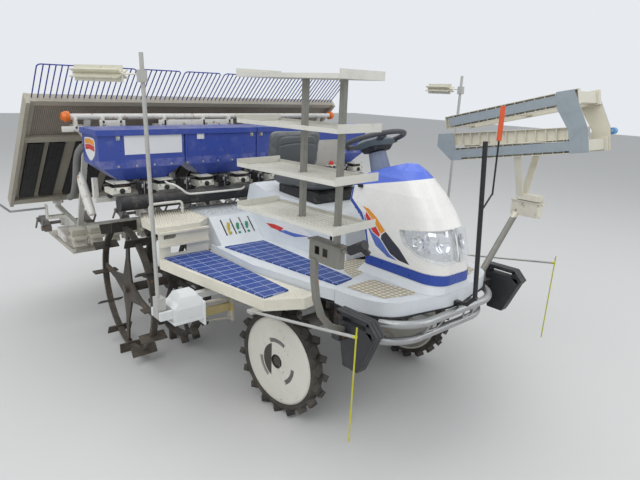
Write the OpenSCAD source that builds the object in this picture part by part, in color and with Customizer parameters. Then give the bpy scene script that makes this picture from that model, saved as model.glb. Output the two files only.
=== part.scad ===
// Riding rice transplanter, eight rows, with its planting section raised.
// X points forward, Y to the left, Z up. Ground is z = 0.
// Inside car() the origin is on the ground under the front axle.

/* [Wheels] */
// Diameter of the front wheels over their lugs
front_wheel_d = 650; // [610:5:670]
// Diameter of the rear wheels over their lugs
rear_wheel_d = 950; // [900:10:980]
// Distance between the front and rear axles
wheelbase = 1210; // [1170:10:1250]
// Distance between the middles of the front wheels
front_tread = 1140; // [1120:10:1200]
// Distance between the middles of the inner rear wheels
rear_tread = 1300; // [1280:10:1340]
// Distance between the middles of the outer auxiliary wheels
aux_tread = 1970; // [1900:10:2000]
// Width of a front tyre
front_tyre_w = 95; // [80:5:100]
// Width of an inner rear tyre
rear_tyre_w = 90; // [70:5:110]
// Height of a front tyre lug
front_lug_h = 25; // [18:1:32]
// Number of lugs on each shoulder of a front tyre
front_lugs = 18; // [12:1:24]
// Number of rubber lugs on an inner rear wheel
rear_lugs = 14; // [10:1:18]
// Number of paddles on an auxiliary wheel
aux_paddles = 12; // [8:1:14]
// Width of an auxiliary wheel's paddle
paddle_w = 170; // [120:5:200]
// Steering angle at which the machine is parked
steer_rest = 7; // [0:1:12]

/* [Body] */
// Height of the main floor
floor_z = 860; // [850:5:870]
// Height of the outer step decks
deck_z = 820; // [815:5:830]
// Height of the rear decks beside the hoppers
rear_deck_z = 1015; // [1005:5:1030]
// Wall thickness of moulded covers
skin = 6; // [4:1:10]
// Thickness of a rubber mat
mat_t = 8; // [4:1:12]
// Height of the bonnet's crest
bonnet_z = 1481; // [1460:1:1490]
// Width of the bonnet at its foot
bonnet_w = 316; // [300:2:340]
// Width of the cover under the seat
cover_w = 500; // [460:5:520]
// Height of the cover under the seat
cover_z = 1165; // [1150:5:1180]
// Width of the seat
seat_w = 450; // [420:5:470]
// Diameter of the steering wheel
steering_d = 370; // [340:5:400]

/* [Hoppers] */
// Width of one fertilizer hopper
hopper_w = 570; // [550:2:580]
// Depth of a hopper, front to rear
hopper_depth = 285; // [270:5:300]
// Height of the hoppers' rim
hopper_rim_z = 1550; // [1500:5:1570]
// Height of the hoppers' floor
hopper_floor_z = 1240; // [1220:5:1280]
// Wall thickness of a hopper
hopper_wall = 5; // [4:1:8]
// Pitch of the metering units
meter_pitch = 297; // [285:1:305]
// Diameter of the air duct
duct_d = 96; // [90:1:110]

/* [Planting section] */
// Distance between planted rows
row_pitch = 330; // [320:1:335]
// Number of planted rows
rows = 8; // [8:2:8]
// Slope of the seedling table against the ground
table_slope = 43; // [41:0.5:45]
// Length of the seedling table along its slope
table_len = 1262; // [1200:2:1290]
// How far the table stands to the left of the middle
table_shift = -49; // [-100:1:100]
// Height of the guard bails above the table's top rail, along the slope
bail_len = 300; // [240:5:340]
// Distance from a planting rotor's axis to its claws' tips
claw_r = 160; // [140:1:163]
// Length of the lift links between their pivots
link_len = 560; // [540:5:580]
// Angle of the lift links above level when raised
link_rest = 25; // [20:1:28]

/* [Racks and markers] */
// Length of a shelf of the right seedling rack
shelf_len = 610; // [580:5:640]
// Width of a shelf of the right seedling rack
shelf_w = 250; // [220:5:290]
// Vertical distance between two shelves
shelf_pitch = 192; // [170:1:200]
// Angle by which the right rack stands turned
rack_turn = 4; // [0:1:8]
// Length of a rail of the left rack
rail_len = 858; // [840:2:870]
// Height of the marker poles' tops
marker_top_z = 1980; // [1900:10:2050]
// Length of a marker's toothed roller
marker_roller_len = 330; // [280:5:380]

/* [Hidden] */
$fn = 48;

// Clearances: between a shaft and its bore, and between pieces that seat on each other
shaft_gap = 0.05;
seat_gap = 0.3;

// Wheels, axles and knuckles
front_r = front_wheel_d / 2;
rear_r = rear_wheel_d / 2;
rim_r = front_r - front_lug_h - 35;
king_y = front_tread / 2 - 100;
king_r = 24;
wheel_shaft_r = 20;
hub_bore_z = 19;
axle_z = 500;
rear_axle_z = rear_r;
rear_case_y = rear_tread / 2 - 92;
rear_shaft_r = 24;

// Frame rails
rail_y = 210;
rail_z = 690;
rail_h = 80;
rail_w = 50;
tie_r = 13;
tie_x = 530;
rail_front = 610;
rail_rear = -wheelbase - 160;

// Lift links and planting section, at the raised rest
pivot_x = -wheelbase - 190;
pivot_low_z = 480;
hitch_rise = 170;
pivot_up_z = pivot_low_z + hitch_rise;
hitch_x = pivot_x - link_len * cos(link_rest);
hitch_z = pivot_low_z + link_len * sin(link_rest);
link_y = 120;
pin_r = 12;
beam_x = hitch_x - 90;
beam_z = hitch_z + 10;
beam_s = 70;
beam_half = 3.5 * row_pitch + 40;
rotor_x = beam_x - 560;
rotor_z = beam_z - 55;
float_z = rotor_z - claw_r + 8;
float_rear = rotor_x - claw_r - 40;
float_rows = [-3, -1, 0, 1, 3];
levelling_x = beam_x + 128;
levelling_z = beam_z - 20;
table_w = rows * row_pitch;
side_w = 25;
panel_t = 22;
table_x = rotor_x - 58;
table_z = rotor_z + 190;
lamp_pipe_x = beam_x + 393;
lamp_pipe_z = 1612;
lamp_y = 1160;
guard_x = rotor_x + 257;

// Left rack: its rails, each [rear end x, foot z, slope]
rails = [[168, 1431, 9.7], [49, 1512, 7.2], [97, 1625, 13.5]];
rail_h2 = 80;
rail_tip_x = rails[0][0] + rail_len * cos(rails[0][2]) + 12;

// Front and rear reach, and the place of the front axle in the part's frame
bumper_x = 778;
bumper_d = 42;
front_reach = rail_tip_x;
rear_reach = float_rear;
front_axle_x = -(front_reach + rear_reach) / 2;

// Hoppers
deck_rear = -wheelbase + 90;
hopper_front_x = deck_rear + 20;
hopper_rear_x = hopper_front_x - hopper_depth;
hopper_gap = 8;
meter_x = hopper_front_x + 10;
meter_z = hopper_floor_z - 72;
duct_x = deck_rear + 80;
duct_z = meter_z - 58;
lid_hinge_x = hopper_rear_x - 20;
lid_hinge_z = hopper_rim_z - 20;
lid_pin_r = 5;
lid_hinges = [-150, -1000];

// Racks and side guards
section_half = 1535;
rack_x = 709;
rack_y = 822;
box_z = 1235;
post_s = 22;

// Markers
marker_x = -205;
marker_y = 1200;
marker_hinge_z = 700;

module car() {
    translate([front_axle_x, 0, 0]) children();
}

// A shape drawn for the right side, put on side s: -1 right, 1 left
module on_side(s) {
    if (s > 0) mirror([0, 1, 0]) children();
    else children();
}

module both_sides() {
    for (s = [-1, 1]) on_side(s) children();
}

// A box given by its lowest and highest corners
module block(a, b) {
    translate(a) cube([b.x - a.x, b.y - a.y, b.z - a.z]);
}

// A profile drawn in X and Z, extruded along Y from y0 to y1
module profile_y(y0, y1) {
    translate([0, y1, 0]) rotate([90, 0, 0]) linear_extrude(y1 - y0) children();
}

// A cylinder along Y from y0 to y1
module shaft_y(x, z, y0, y1, r) {
    translate([x, y1, z]) rotate([90, 0, 0]) cylinder(h = y1 - y0, r = r);
}

// Children drawn along +Z from a, turned towards b
module aim(a, b) {
    v = b - a;
    translate(a) rotate([0, acos(v.z / norm(v)), atan2(v.y, v.x)]) children();
}

module rod(a, b, d) {
    aim(a, b) cylinder(h = norm(b - a), d = d);
}

// A bent pipe with round corners of its own diameter
module pipe(points, d) {
    for (i = [0 : len(points) - 2]) rod(points[i], points[i + 1], d);
    for (i = [1 : len(points) - 2]) translate(points[i]) sphere(d = d);
}

// A flat bar from a to b, w wide across and t thick
module bar(a, b, w, t) {
    aim(a, b) translate([-t / 2, -w / 2, 0]) cube([t, w, norm(b - a)]);
}

// Chassis
module chassis_frame() car() color("dimgray") {
    top = rail_z + rail_h;
    difference() {
        union() {
            both_sides() block([rail_rear, -rail_y - rail_w / 2, rail_z],
                [rail_front, -rail_y + rail_w / 2, top]);
            // cross members carry the decks and the front floor
            for (c = [[rail_rear + 40, 420], [deck_rear + 120, 560], [-330, 800], [120, 780], [570, 700]])
                block([c[0], -c[1], rail_z + 35], [c[0] + 40, c[1], rail_z + 69.5]);
            both_sides() block([600, -700, rail_z + 35], [622 - seat_gap, -630, rail_z + 69.5]);
            // posts under the rear decks
            both_sides() block([deck_rear + 120, -560, rail_z + 69],
                [deck_rear + 160, -520, rear_deck_z - skin - seat_gap]);
            // plates for tie-down hooks
            both_sides() block([tie_x - 30, -rail_y - 6, rail_z - 50],
                [tie_x + 30, -rail_y + 6, rail_z + 10]);
            // front axle carriers
            both_sides() for (x = [-85, 45])
                block([x, -rail_y - 25, axle_z - 30], [x + 40, -rail_y + 25, rail_z + 5]);
            // rear axle hangers
            both_sides() for (x = [-100, 60])
                block([-wheelbase + x, -rail_y - 25, rear_axle_z - 30],
                    [-wheelbase + x + 40, -rail_y + 25, rail_z + 5]);
            // rear tower with the lift pivots
            both_sides() block([pivot_x - 30, -link_y - 42, pivot_low_z - 30],
                [pivot_x + 70, -link_y - 24, top]);
            block([pivot_x + 30, -rail_y - 25, rail_z], [pivot_x + 70, rail_y + 25, top]);
            both_sides() block([pivot_x - 30, -38, pivot_up_z - 30], [pivot_x + 60, -24, pivot_up_z + 75]);
        }
        shaft_y(tie_x, rail_z - 25, -300, 300, tie_r);
        shaft_y(0, axle_z, -300, 300, 45 + seat_gap);
        shaft_y(-wheelbase, rear_axle_z, -300, 300, 60 + seat_gap);
        shaft_y(pivot_x, pivot_low_z, -300, 300, pin_r + shaft_gap);
        shaft_y(pivot_x, pivot_up_z, -60, 60, pin_r + shaft_gap);
    }
}

module transmission() car() color("slategray") {
    difference() {
        union() {
            block([-210, -130, 400], [190, 130, rail_z + 35 - seat_gap]);
            translate([190, 0, 470]) rotate([0, 90, 0]) cylinder(h = 60, r = 80);
        }
        shaft_y(0, axle_z, -300, 300, 45 + seat_gap);
    }
}

module front_axle() car() color("gray") {
    difference() {
        union() {
            shaft_y(0, axle_z, -king_y, king_y, 45);
            both_sides() translate([0, -king_y, 470]) cylinder(h = 120, r = 44);
        }
        both_sides() translate([0, -king_y, axle_z - 60]) cylinder(h = 170, r = king_r + shaft_gap);
    }
}

// One knuckle: kingpin, drop case and wheel shaft, turned by the rest steering angle
module knuckle(s) car() color("gray") on_side(s) {
    translate([0, -king_y, 0]) rotate([0, 0, -s * steer_rest]) {
        translate([0, 0, 440]) cylinder(h = 155, r = king_r);
        translate([0, 0, front_r - 65]) cylinder(h = axle_z - 48 - front_r + 65, r = 40);
        shaft_y(0, front_r, -46, 0, 36);
        shaft_y(0, front_r, -front_tread / 2 + king_y - hub_bore_z + seat_gap, 0, wheel_shaft_r);
        block([-150, -12, 420], [0, 12, 440]);
    }
}

// Children in a front wheel's own frame: the wheel's axis is Z, outboard is +Z
module at_front_wheel(s) {
    car() on_side(s) translate([0, -king_y, 0]) rotate([0, 0, -s * steer_rest])
        translate([0, -front_tread / 2 + king_y, front_r]) rotate([90, 0, 0]) children();
}

module front_tyre(s) at_front_wheel(s) color([0.1, 0.1, 0.1]) {
    half = front_tyre_w / 2;
    base_r = front_r - front_lug_h;
    rotate_extrude($fn = 72) translate([rim_r, 0])
        polygon([[0, -half + 14], [base_r - rim_r - 8, -half + 10], [base_r - rim_r, -half + 24],
            [base_r - rim_r, half - 24], [base_r - rim_r - 8, half - 10], [0, half - 14]]);
    for (i = [0 : front_lugs - 1], side = [-1, 1])
        rotate([0, 0, -90 + (i + (side - 1) / 4) * 360 / front_lugs])
            translate([base_r - 8, 0, side * half / 2])
                rotate([side * 34, 0, 0]) translate([0, -19, -half / 2])
                    cube([front_lug_h + 8, 38, half]);
}

module front_disc(s) at_front_wheel(s) color("ivory") {
    plate_z = front_tyre_w / 2 - 8;
    slot_r = rim_r * 0.44;
    difference() {
        union() {
            rotate_extrude($fn = 72) polygon([[0, plate_z], [rim_r - 22, plate_z],
                [rim_r - 10, plate_z - 3], [rim_r - seat_gap, plate_z - 10],
                [rim_r - seat_gap, -plate_z], [rim_r - 12, -plate_z], [rim_r - 12, plate_z - 18],
                [rim_r - 26, plate_z - 8], [0, plate_z - 8]]);
            translate([0, 0, -30]) cylinder(h = 30 + plate_z - 4, r = 62);
        }
        translate([0, 0, -31]) cylinder(h = 31 + hub_bore_z, r = wheel_shaft_r + shaft_gap);
        translate([0, 0, plate_z - 12]) cylinder(h = 20, r = 39);
        for (i = [0 : 2]) rotate([0, 0, i * 120 + 62])
            rotate_extrude(angle = 56) translate([slot_r, plate_z - 14]) square([26, 28]);
    }
    // hub nut and the bent end of its lock pin
    translate([0, 0, plate_z - 13]) cylinder(h = 10, r = 30);
    rod([8, -6, plate_z - 8], [58, -46, plate_z + 2], 17);
}

module rear_axle() car() color("gray") {
    shaft_y(-wheelbase, rear_axle_z, -rear_case_y, rear_case_y, 60);
    both_sides() {
        shaft_y(-wheelbase, rear_axle_z, -rear_case_y - 22, -rear_case_y + 60, 82);
        shaft_y(-wheelbase, rear_axle_z, -rear_tread / 2 - 10, -rear_case_y, rear_shaft_r);
        bar([-wheelbase + 20, -rear_case_y + 20, rear_axle_z + 60],
            [-wheelbase + 60, -rear_case_y + 60, rail_z + 110], 60, 44);
    }
}

// Children in a rear wheel's frame: axis Z, outboard +Z, origin at the inner wheel's middle
module at_rear_wheel(s) {
    car() on_side(s) translate([-wheelbase, -rear_tread / 2, rear_axle_z])
        rotate([90, 0, 0]) children();
}

module rear_wheel(s) at_rear_wheel(s) color([0.13, 0.12, 0.11]) {
    base_r = rear_r - 50;
    difference() {
        union() {
            rotate_extrude($fn = 72) translate([base_r - 28, -28]) square([28, 56]);
            for (i = [0 : 5]) rotate([0, 0, i * 60])
                translate([45, -18, -8]) cube([base_r - 60, 36, 16]);
            translate([0, 0, -rear_tyre_w / 2]) cylinder(h = rear_tyre_w, r = 70);
        }
        translate([0, 0, -rear_tyre_w]) cylinder(h = rear_tyre_w + 11, r = rear_shaft_r + shaft_gap);
    }
    for (i = [0 : rear_lugs - 1], side = [-1, 1])
        rotate([0, 0, -90 + (i + (side - 1) / 4) * 360 / rear_lugs])
            translate([base_r - 10, -16, side > 0 ? 0 : -rear_tyre_w / 2])
                cube([60, 32, rear_tyre_w / 2]);
}

module aux_wheel(s) at_rear_wheel(s) color([0.13, 0.12, 0.11]) {
    out = (aux_tread - rear_tread) / 2;
    ring_r = rear_r - 34;
    start = rear_tyre_w / 2;
    translate([0, 0, start]) cylinder(h = out - start + 30, r = 30);
    translate([0, 0, start]) cylinder(h = 14, r = 62);
    translate([0, 0, out]) {
        rotate_extrude($fn = 72) translate([ring_r - 22, -20]) square([22, 40]);
        // four tapered arms of flat plate from a diamond hub plate
        rotate([0, 0, -8]) for (i = [0 : 3]) rotate([0, 0, i * 90])
            linear_extrude(12, center = true)
                polygon([[0, -95], [95, -66], [230, -26], [ring_r - 10, -18],
                    [ring_r - 10, 18], [230, 26], [95, 66], [0, 95]]);
        for (i = [0 : aux_paddles - 1]) rotate([0, 0, -90 + i * 360 / aux_paddles])
            translate([ring_r - 34, -5, -paddle_w / 2]) cube([68, 10, paddle_w]);
    }
}

module engine_block() car() color("dimgray")
    block([-560, -150, rail_z + 69.5 + seat_gap], [-60, 150, 1090]);

// Floor panels
module main_floor() car() color("whitesmoke") {
    front = 372;
    step_x = -618;
    rise_x = -780;
    back = deck_rear;
    edge = floor_z - 62;
    difference() {
        union() {
            profile_y(-640, 640) polygon([[front, floor_z], [step_x, floor_z], [rise_x, rear_deck_z],
                [back, rear_deck_z], [back, rear_deck_z - 60], [back + skin, rear_deck_z - 60],
                [back + skin, rear_deck_z - skin], [rise_x - 3, rear_deck_z - skin],
                [step_x - 3, floor_z - skin], [front, floor_z - skin]]);
            // side walls of the floor and of the raised rear part
            both_sides() {
                linear_extrude_at(edge, floor_z - edge) floor_edge(0, skin);
                block([back, -586, edge], [rise_x, -580, rear_deck_z - 1]);
                profile_y(-586, -580) polygon([[rise_x - 1, edge], [step_x + 20, edge],
                    [step_x, floor_z - 1], [rise_x - 1, rear_deck_z - 1]]);
            }
        }
        both_sides() {
            linear_extrude_at(edge - 1, 63 + 200) floor_edge(-200, 200);
            block([back - 1, -700, floor_z + 1], [step_x, -586, rear_deck_z + 10]);
            block([back - 1, -700, edge - 1], [-690, -586, floor_z + 2]);
        }
        block([-590, -170, floor_z - 20], [-30, 170, floor_z + 1]);
        // lever slots in the riser
        for (i = [0 : 3]) block([-775, -520 + i * 71, floor_z + 45], [-640, -508 + i * 71, rear_deck_z - 22]);
    }
}

module linear_extrude_at(z, h) {
    translate([0, 0, z]) linear_extrude(h) children();
}

module front_floor() car() color("whitesmoke") {
    low = floor_z - 75;
    nose = 762;
    difference() {
        linear_extrude_at(low, floor_z - low) nose_plan(nose, 505);
        linear_extrude_at(low - 1, floor_z - low - skin + 1) nose_plan(nose - 7, 498);
        block([200, -600, low - 5], [372 + seat_gap, 600, floor_z + 5]);
    }
}

// Smooth closed outline through the middles of a polygon's sides
function smooth(p, n) = [for (i = [0 : len(p) - 1], j = [0 : n - 1])
    let (a = (p[(i + len(p) - 1) % len(p)] + p[i]) / 2, b = (p[i] + p[(i + 1) % len(p)]) / 2, t = j / n)
    a * (1 - t) * (1 - t) + p[i] * 2 * t * (1 - t) + b * t * t];

// Plan of the nose: straight sides that draw in to a rounded front
module nose_plan(front, half) {
    side = [[240, half], [360, half], [440, half - 1], [540, half - 24], [640, half - 68], [697, half - 138],
        [front - 36, half - 290], [front - 12, half - 400], [front, 60]];
    polygon(smooth(concat([for (p = side) [p.x, -p.y]], [for (i = [len(side) - 1 : -1 : 0]) side[i]]), 5));
}

module step_decks() car() color("antiquewhite") {
    both_sides() difference() {
        linear_extrude_at(deck_z - 60, 60) deck_plan(0);
        linear_extrude_at(deck_z - 61, 61 - skin) deck_plan(skin);
    }
}

module deck_plan(inset) {
    polygon([[-690 + inset, -975 + inset], [200, -828 + inset], [300 - inset, -645],
        [285 - inset, -548 - inset], [233, -562 - inset], [-200, -643 - inset], [-690 + inset, -633 - inset]]);
}

module rear_decks() car() color("antiquewhite") both_sides() {
    z = rear_deck_z;
    linear_extrude_at(z - 40, 40) polygon([[deck_rear, -905], [-930, -977], [-693, -977], [-693, -697],
        [-788, -590], [deck_rear, -590]]);
    // ladder panel with cut-outs and two foot ledges
    difference() {
        block([-700, -973, deck_z + seat_gap], [-692, -640, z - 39]);
        block([-710, -900, deck_z + 25], [-680, -790, deck_z + 70]);
        block([-710, -940, deck_z + 120], [-680, -860, deck_z + 145]);
    }
    for (dz = [75, 155]) block([-699, -965, deck_z + dz], [-672, -642, deck_z + dz + 12]);
}

module floor_mats() car() color("royalblue") {
    both_sides() {
        linear_extrude_at(deck_z + seat_gap, mat_t)
            polygon([[-688, -945], [185, -814], [172, -652], [-688, -652]]);
        linear_extrude_at(floor_z + seat_gap, mat_t)
            polygon([[-578, -588], [334, -459], [311, -325], [-562, -302]]);
    }
}

// Cover under the seat: wide at the rear, drawn in to the front
module engine_cover() car() color("whitesmoke") {
    half = cover_w / 2;
    base = floor_z + seat_gap;
    difference() {
        intersection() {
            profile_y(-half - 20, half + 20) polygon([[60, base], [40, 1100], [-40, cover_z - 10],
                [-150, cover_z], [-600, cover_z + 25], [-740, cover_z + 60], [-790, cover_z + 40],
                [-850, rear_deck_z + seat_gap], [-778, rear_deck_z + seat_gap], [-616, base]]);
            linear_extrude_at(base - 1, 500) polygon([[-900, -half - 12], [-600, -half - 12], [-340, -half + 22],
                [60, -130], [60, 130], [-340, half - 22], [-600, half + 12], [-900, half + 12]]);
        }
        block([-575, -160, 700], [-45, 160, cover_z - 40]);
    }
}

module seat_base() car() color("black")
    profile_y(-180, 180) polygon([[-560, cover_z + 23.2], [-180, cover_z + 2.1],
        [-180, cover_z + 60], [-215, cover_z + 74.7], [-560, cover_z + 74.7]]);

module seat() car() color("gray") {
    half = seat_w / 2;
    profile_y(-half, half) polygon([[-165, cover_z + 75], [-140, cover_z + 120], [-170, cover_z + 165],
        [-540, cover_z + 150], [-590, cover_z + 250], [-625, cover_z + 421], [-680, cover_z + 421],
        [-670, cover_z + 200], [-640, cover_z + 75]]);
}

// Bonnet: stacked sections, each [height, rear x, front x, half width]
module bonnet() car() color("whitesmoke") difference() {
    bonnet_form(0);
    difference() {
        both_sides() lamp_prism(seat_gap);
        bonnet_form(22);
    }
    column_form(seat_gap);
}

module bonnet_slice(s) {
    translate([0, 0, s[0]]) linear_extrude(0.5) slice_plan(s);
}

module headlamps() car() color("lightgray") both_sides() difference() {
    intersection() {
        hull() {
            bonnet_slice([1000, 240, 766, bonnet_w / 2 + 6]);
            bonnet_slice([1190, 160, 712, bonnet_w / 2 - 4]);
        }
        lamp_prism(0);
    }
    bonnet_form(21.7);
}

steering_tilt = 21;
hub_x = 108;
hub_z = 1580;

module steering_column() car() color("lightslategray") difference() {
    column_form(0);
    translate([hub_x, 0, hub_z]) rotate([0, -steering_tilt, 0])
        translate([0, 0, -100]) cylinder(h = 60, r = 12 + shaft_gap);
}

module steering_wheel() car() color([0.3, 0.3, 0.32]) {
    translate([hub_x, 0, hub_z]) rotate([0, -steering_tilt, 0]) {
        rotate_extrude() translate([steering_d / 2 - 14, 0]) circle(14);
        translate([0, 0, -38]) cylinder(h = 44, r = 45);
        translate([0, 0, -98]) cylinder(h = 62, r = 12);
        for (a = [90, 210, 330]) rotate([0, 0, a])
            translate([20, -18, -22]) cube([steering_d / 2 - 36, 36, 16]);
    }
}

// Front bumper: two tubes that follow the nose, with uprights to the frame
module front_bumper() car() color("silver") {
    z = floor_z - 103;
    bumper_tube(bumper_x, z);
    bumper_tube(bumper_x - 60, z - 112);
    both_sides() {
        bar([bumper_x, -206, z], [bumper_x - 60, -206, z - 112], 20, 14);
        rod([bumper_x - 44, -206, z - 82], [bumper_x - 36, -112, z - 82], 11);
        rod([bumper_x - 37, -118, z - 84], [bumper_x - 4, -76, z - 6], 11);
        block([rail_front + seat_gap, -rail_y + 18, rail_z + 18], [bumper_x - 6, -rail_y + 50, rail_z + 64]);
    }
}

module bumper_tube(x, z) {
    r = 228;
    half = 225;
    translate([x, 0, z]) {
        translate([0, half, 0]) rotate([90, 0, 0]) cylinder(h = 2 * half, d = bumper_d);
        both_sides() translate([-r, -half, 0]) mirror([0, 1, 0]) rotate_extrude(angle = 69)
            translate([r, 0]) circle(d = bumper_d);
    }
}

module mascot_pole() car() color([0.08, 0.08, 0.09]) {
    z = floor_z - 60;
    block([762 + seat_gap, -16, z - 13], [790, 16, z + 12]);
    rod([775, 0, z], [838, 0, z + 14], 22);
    rod([826, 0, z + 6], [881, 0, z + 66], 22);
    rod([873, 0, z + 48], [826, 0, 1640], 24);
    rod([848, 0, 1305], [868, 48, 1392], 9);
    rod([868, 48, 1384], [866, 48, 1800], 9);
    // sleeve on the thin rod's top
    rod([866.6, 48, 1645], [866, 48, 1806], 24);
}

// Ribbed foot boxes at the front corners
module side_boxes() car() color([0.1, 0.1, 0.11]) {
    both_sides() {
        block([644, -698, 612], [742, -602, 862]);
        for (z = [640 : 44 : 816]) block([622, -726, z], [768, -592, z + 21]);
    }
}

module side_marker_rods() car() color("white") {
    both_sides() {
        rod([150, -870, 752], [871, -841, 887], 14);
        rod([871, -841, 930], [862, -841, 390], 7);
        block([130, -885, 745], [175, -815, 759.5]);
    }
}

module seedling_rack_r() car() color("ivory") {
    translate([rack_x, -rack_y, 0]) rotate([0, 0, rack_turn]) {
        translate([0, 0, box_z - 95]) cylinder(h = 96, r = 11);
        for (x = [0, -212]) translate([x - post_s / 2, -post_s / 2, x < 0 ? 1312 : box_z + 6])
            cube([post_s, post_s, x < 0 ? 576 : 652]);
        translate([0, 0, box_z]) cylinder(h = 7, r = 11);
        for (i = [0 : 3]) translate([-shelf_len + 95, -shelf_w / 2, 1312 + i * shelf_pitch]) shelf();
    }
}

module shelf() {
    cube([shelf_len, shelf_w, 4]);
    for (y = [0, shelf_w - 3]) translate([0, y, 0]) cube([shelf_len, 3, 18]);
    for (x = [0, shelf_len - 3]) translate([x, 0, 0]) cube([3, shelf_w, 34]);
}

module seedling_rack_l() car() color("lightgray") {
    translate([rack_x, rack_y, 0]) {
        translate([0, 0, box_z - 95]) cylinder(h = 96, r = 11);
        translate([0, 0, box_z]) cylinder(h = 8, r = 11);
        block([-120, -30, box_z + 6], [30, 30, box_z + 40]);
    }
    // forked bracket up to the two lower rails
    for (s = [-1, 1]) bar([610, rack_y + s * 22, box_z + 20], [610, rack_y + s * 122, 1525], 44, 10);
    for (i = [0 : 2]) translate([rails[i][0], rack_y, rails[i][1]]) rotate([0, -rails[i][2], 0]) rail_frame(i);
    // end plates: the front pair joins the low and top rails, the rear pair the low and middle rails
    translate([0, rack_y, 0]) both_sides() {
        profile_y(-148, -141) polygon([[925, 1560], [rail_tip_x, 1578], [1000, 1700], [895, 1898],
            [800, 1880], [820, 1790], [900, 1680]]);
        profile_y(-148, -141) polygon([[45, 1512], [45, 1592], [160, 1606], [185, 1515], [250, 1445], [165, 1431]]);
    }
    // knob at the far front corner
    shaft_y(1004, 1682, rack_y + 145, rack_y + 168, 9);
    shaft_y(1004, 1682, rack_y + 166, rack_y + 196, 19);
}

// A pair of ribbed channels that open outwards, with cross members; the outer two carry cover strips
module rail_frame(i) {
    both_sides() {
        translate([0, -118, 0]) cube([rail_len, 4, rail_h2]);
        for (z = [0, rail_h2 - 4]) translate([0, -142, z]) cube([rail_len, 25, 4]);
        for (x = [0 : 61 : rail_len]) translate([x, -140, 1]) cube([4, 23, rail_h2 - 2]);
        if (i != 1) translate([30, -146, 14]) cube([rail_len - 50, 7, rail_h2 - 28]);
    }
    for (x = [20, rail_len / 2]) translate([x, -115, 10]) cube([30, 230, 20]);
    translate([rail_len - 62, -115, 8]) cube([50, 230, 60]);
}

module levers() car() color([0.1, 0.1, 0.1]) {
    side = bonnet_w / 2 - 29 + seat_gap;
    block([136, -side - 14, 1324], [164, -side, 1342]);
    rod([150, -side - 8, 1333], [60, -250, 1410], 10);
    rod([64, -245, 1406], [35, -281, 1430], 26);
    // grip of the right rack's lock
    rod([790 + seat_gap, -rack_y, box_z - 4], [866, -rack_y + 4, box_z + 38], 40);
    rod([846, -rack_y + 2, box_z + 22], [868, -rack_y + 26, box_z - 4], 26);
}

module handrails() car() color("white") {
    z = rear_deck_z;
    x = duct_x + duct_d / 2 + 27;
    both_sides() pipe([[x, -905, z + seat_gap], [x, -905, z + 85],
        [x, -680, z + 85], [x, -680, z + seat_gap]], 18);
}

module hopper_frame() car() color("gray") {
    block([rail_rear + 40, -1130, 1080], [rail_rear + 90, 1130, 1110]);
    both_sides() {
        block([rail_rear, -250, rail_z + rail_h + seat_gap], [rail_rear + 40, -190, 1110]);
        block([rail_rear + 39, -250, 1080], [rail_rear + 50, -190, 1110]);
        for (y = [-1120, -578, -60])
            block([rail_rear + 40, y - 15, 1109], [rail_rear + 75, y + 15, hopper_floor_z - seat_gap]);
    }
}

module metering_units() car() color("ivory") {
    for (i = [-3.5 : 1 : 3.5]) translate([meter_x, i * meter_pitch, 0]) {
        block([-104, -52, meter_z + 64], [30, 52, hopper_floor_z - seat_gap]);
        block([-92, -38, meter_z + 40], [18, 38, meter_z + 65]);
        profile_y(-56, 56) polygon([[-120, meter_z + 30], [-104, meter_z + 42], [24, meter_z + 42],
            [38, meter_z + 26], [38, meter_z + 4], [20, meter_z - 6], [-120, meter_z - 6]]);
        rod([-100, 0, meter_z + 10], [-190, 0, meter_z - 50], 36);
    }
    shaft_y(meter_x - 37, meter_z + 53, -4 * meter_pitch + 60, 4 * meter_pitch - 60, 10);
}

module air_duct() car() color([0.07, 0.07, 0.08]) {
    shaft_y(duct_x, duct_z, -1072, 1072, duct_d / 2);
    both_sides() block([rail_rear + 90 + seat_gap, -240, 1082], [duct_x - 30, -200, 1108]);
}

// Two hoppers side by side: straight upper walls, sloping floor sides
module hoppers() car() color("mediumblue") both_sides() {
    for (i = [0, 1]) translate([0, -(hopper_gap / 2 + i * (hopper_w + hopper_gap)) - hopper_w / 2, 0])
        difference() {
            hopper_form(0);
            hopper_form(hopper_wall);
        }
    lid_hinge(lid_pin_r, 30);
    for (y = lid_hinges) for (s = [-1, 1]) {
        block([lid_hinge_x - 7, y + s * 24 - 6, lid_hinge_z - 26],
            [hopper_rear_x + 2, y + s * 24 + 6, lid_hinge_z - 11]);
        block([lid_hinge_x - 7, y + s * 24 - 6, lid_hinge_z - 26], [lid_hinge_x + 3, y + s * 24 + 6, lid_hinge_z]);
    }
}

module hopper_form(wall) {
    half = hopper_w / 2 - wall;
    x0 = hopper_rear_x + wall;
    x1 = hopper_front_x - wall;
    top = hopper_rim_z + (wall > 0 ? 1 : 0);
    base = hopper_floor_z + wall;
    intersection() {
        profile_y(-half, half) polygon([[x0, base + 110], [x0 + 60, base], [x1 - 40, base],
            [x1, base + 80], [x1, top], [x0, top]]);
        translate([x0 - 1, 0, 0]) rotate([90, 0, 90]) linear_extrude(x1 - x0 + 2)
            polygon([[-half + 130, base], [half - 130, base], [half, base + 100], [half, top],
                [-half, top], [-half, base + 100]]);
    }
}

module hopper_lid(s) car() color("mediumblue") on_side(s) {
    y0 = -hopper_gap / 2 - 2 * hopper_w - hopper_gap;
    difference() {
        union() {
            difference() {
                block([hopper_rear_x - 12, y0 - 12, hopper_rim_z - 24],
                    [hopper_front_x + 12, -3.5, hopper_rim_z + 12]);
                block([hopper_rear_x - 6, y0 - 6, hopper_rim_z - 25],
                    [hopper_front_x + 6, -3, hopper_rim_z + seat_gap]);
            }
            lid_hinge(lid_pin_r + 5, 16);
        }
        lid_hinge(lid_pin_r + shaft_gap, 18);
    }
}

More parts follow.
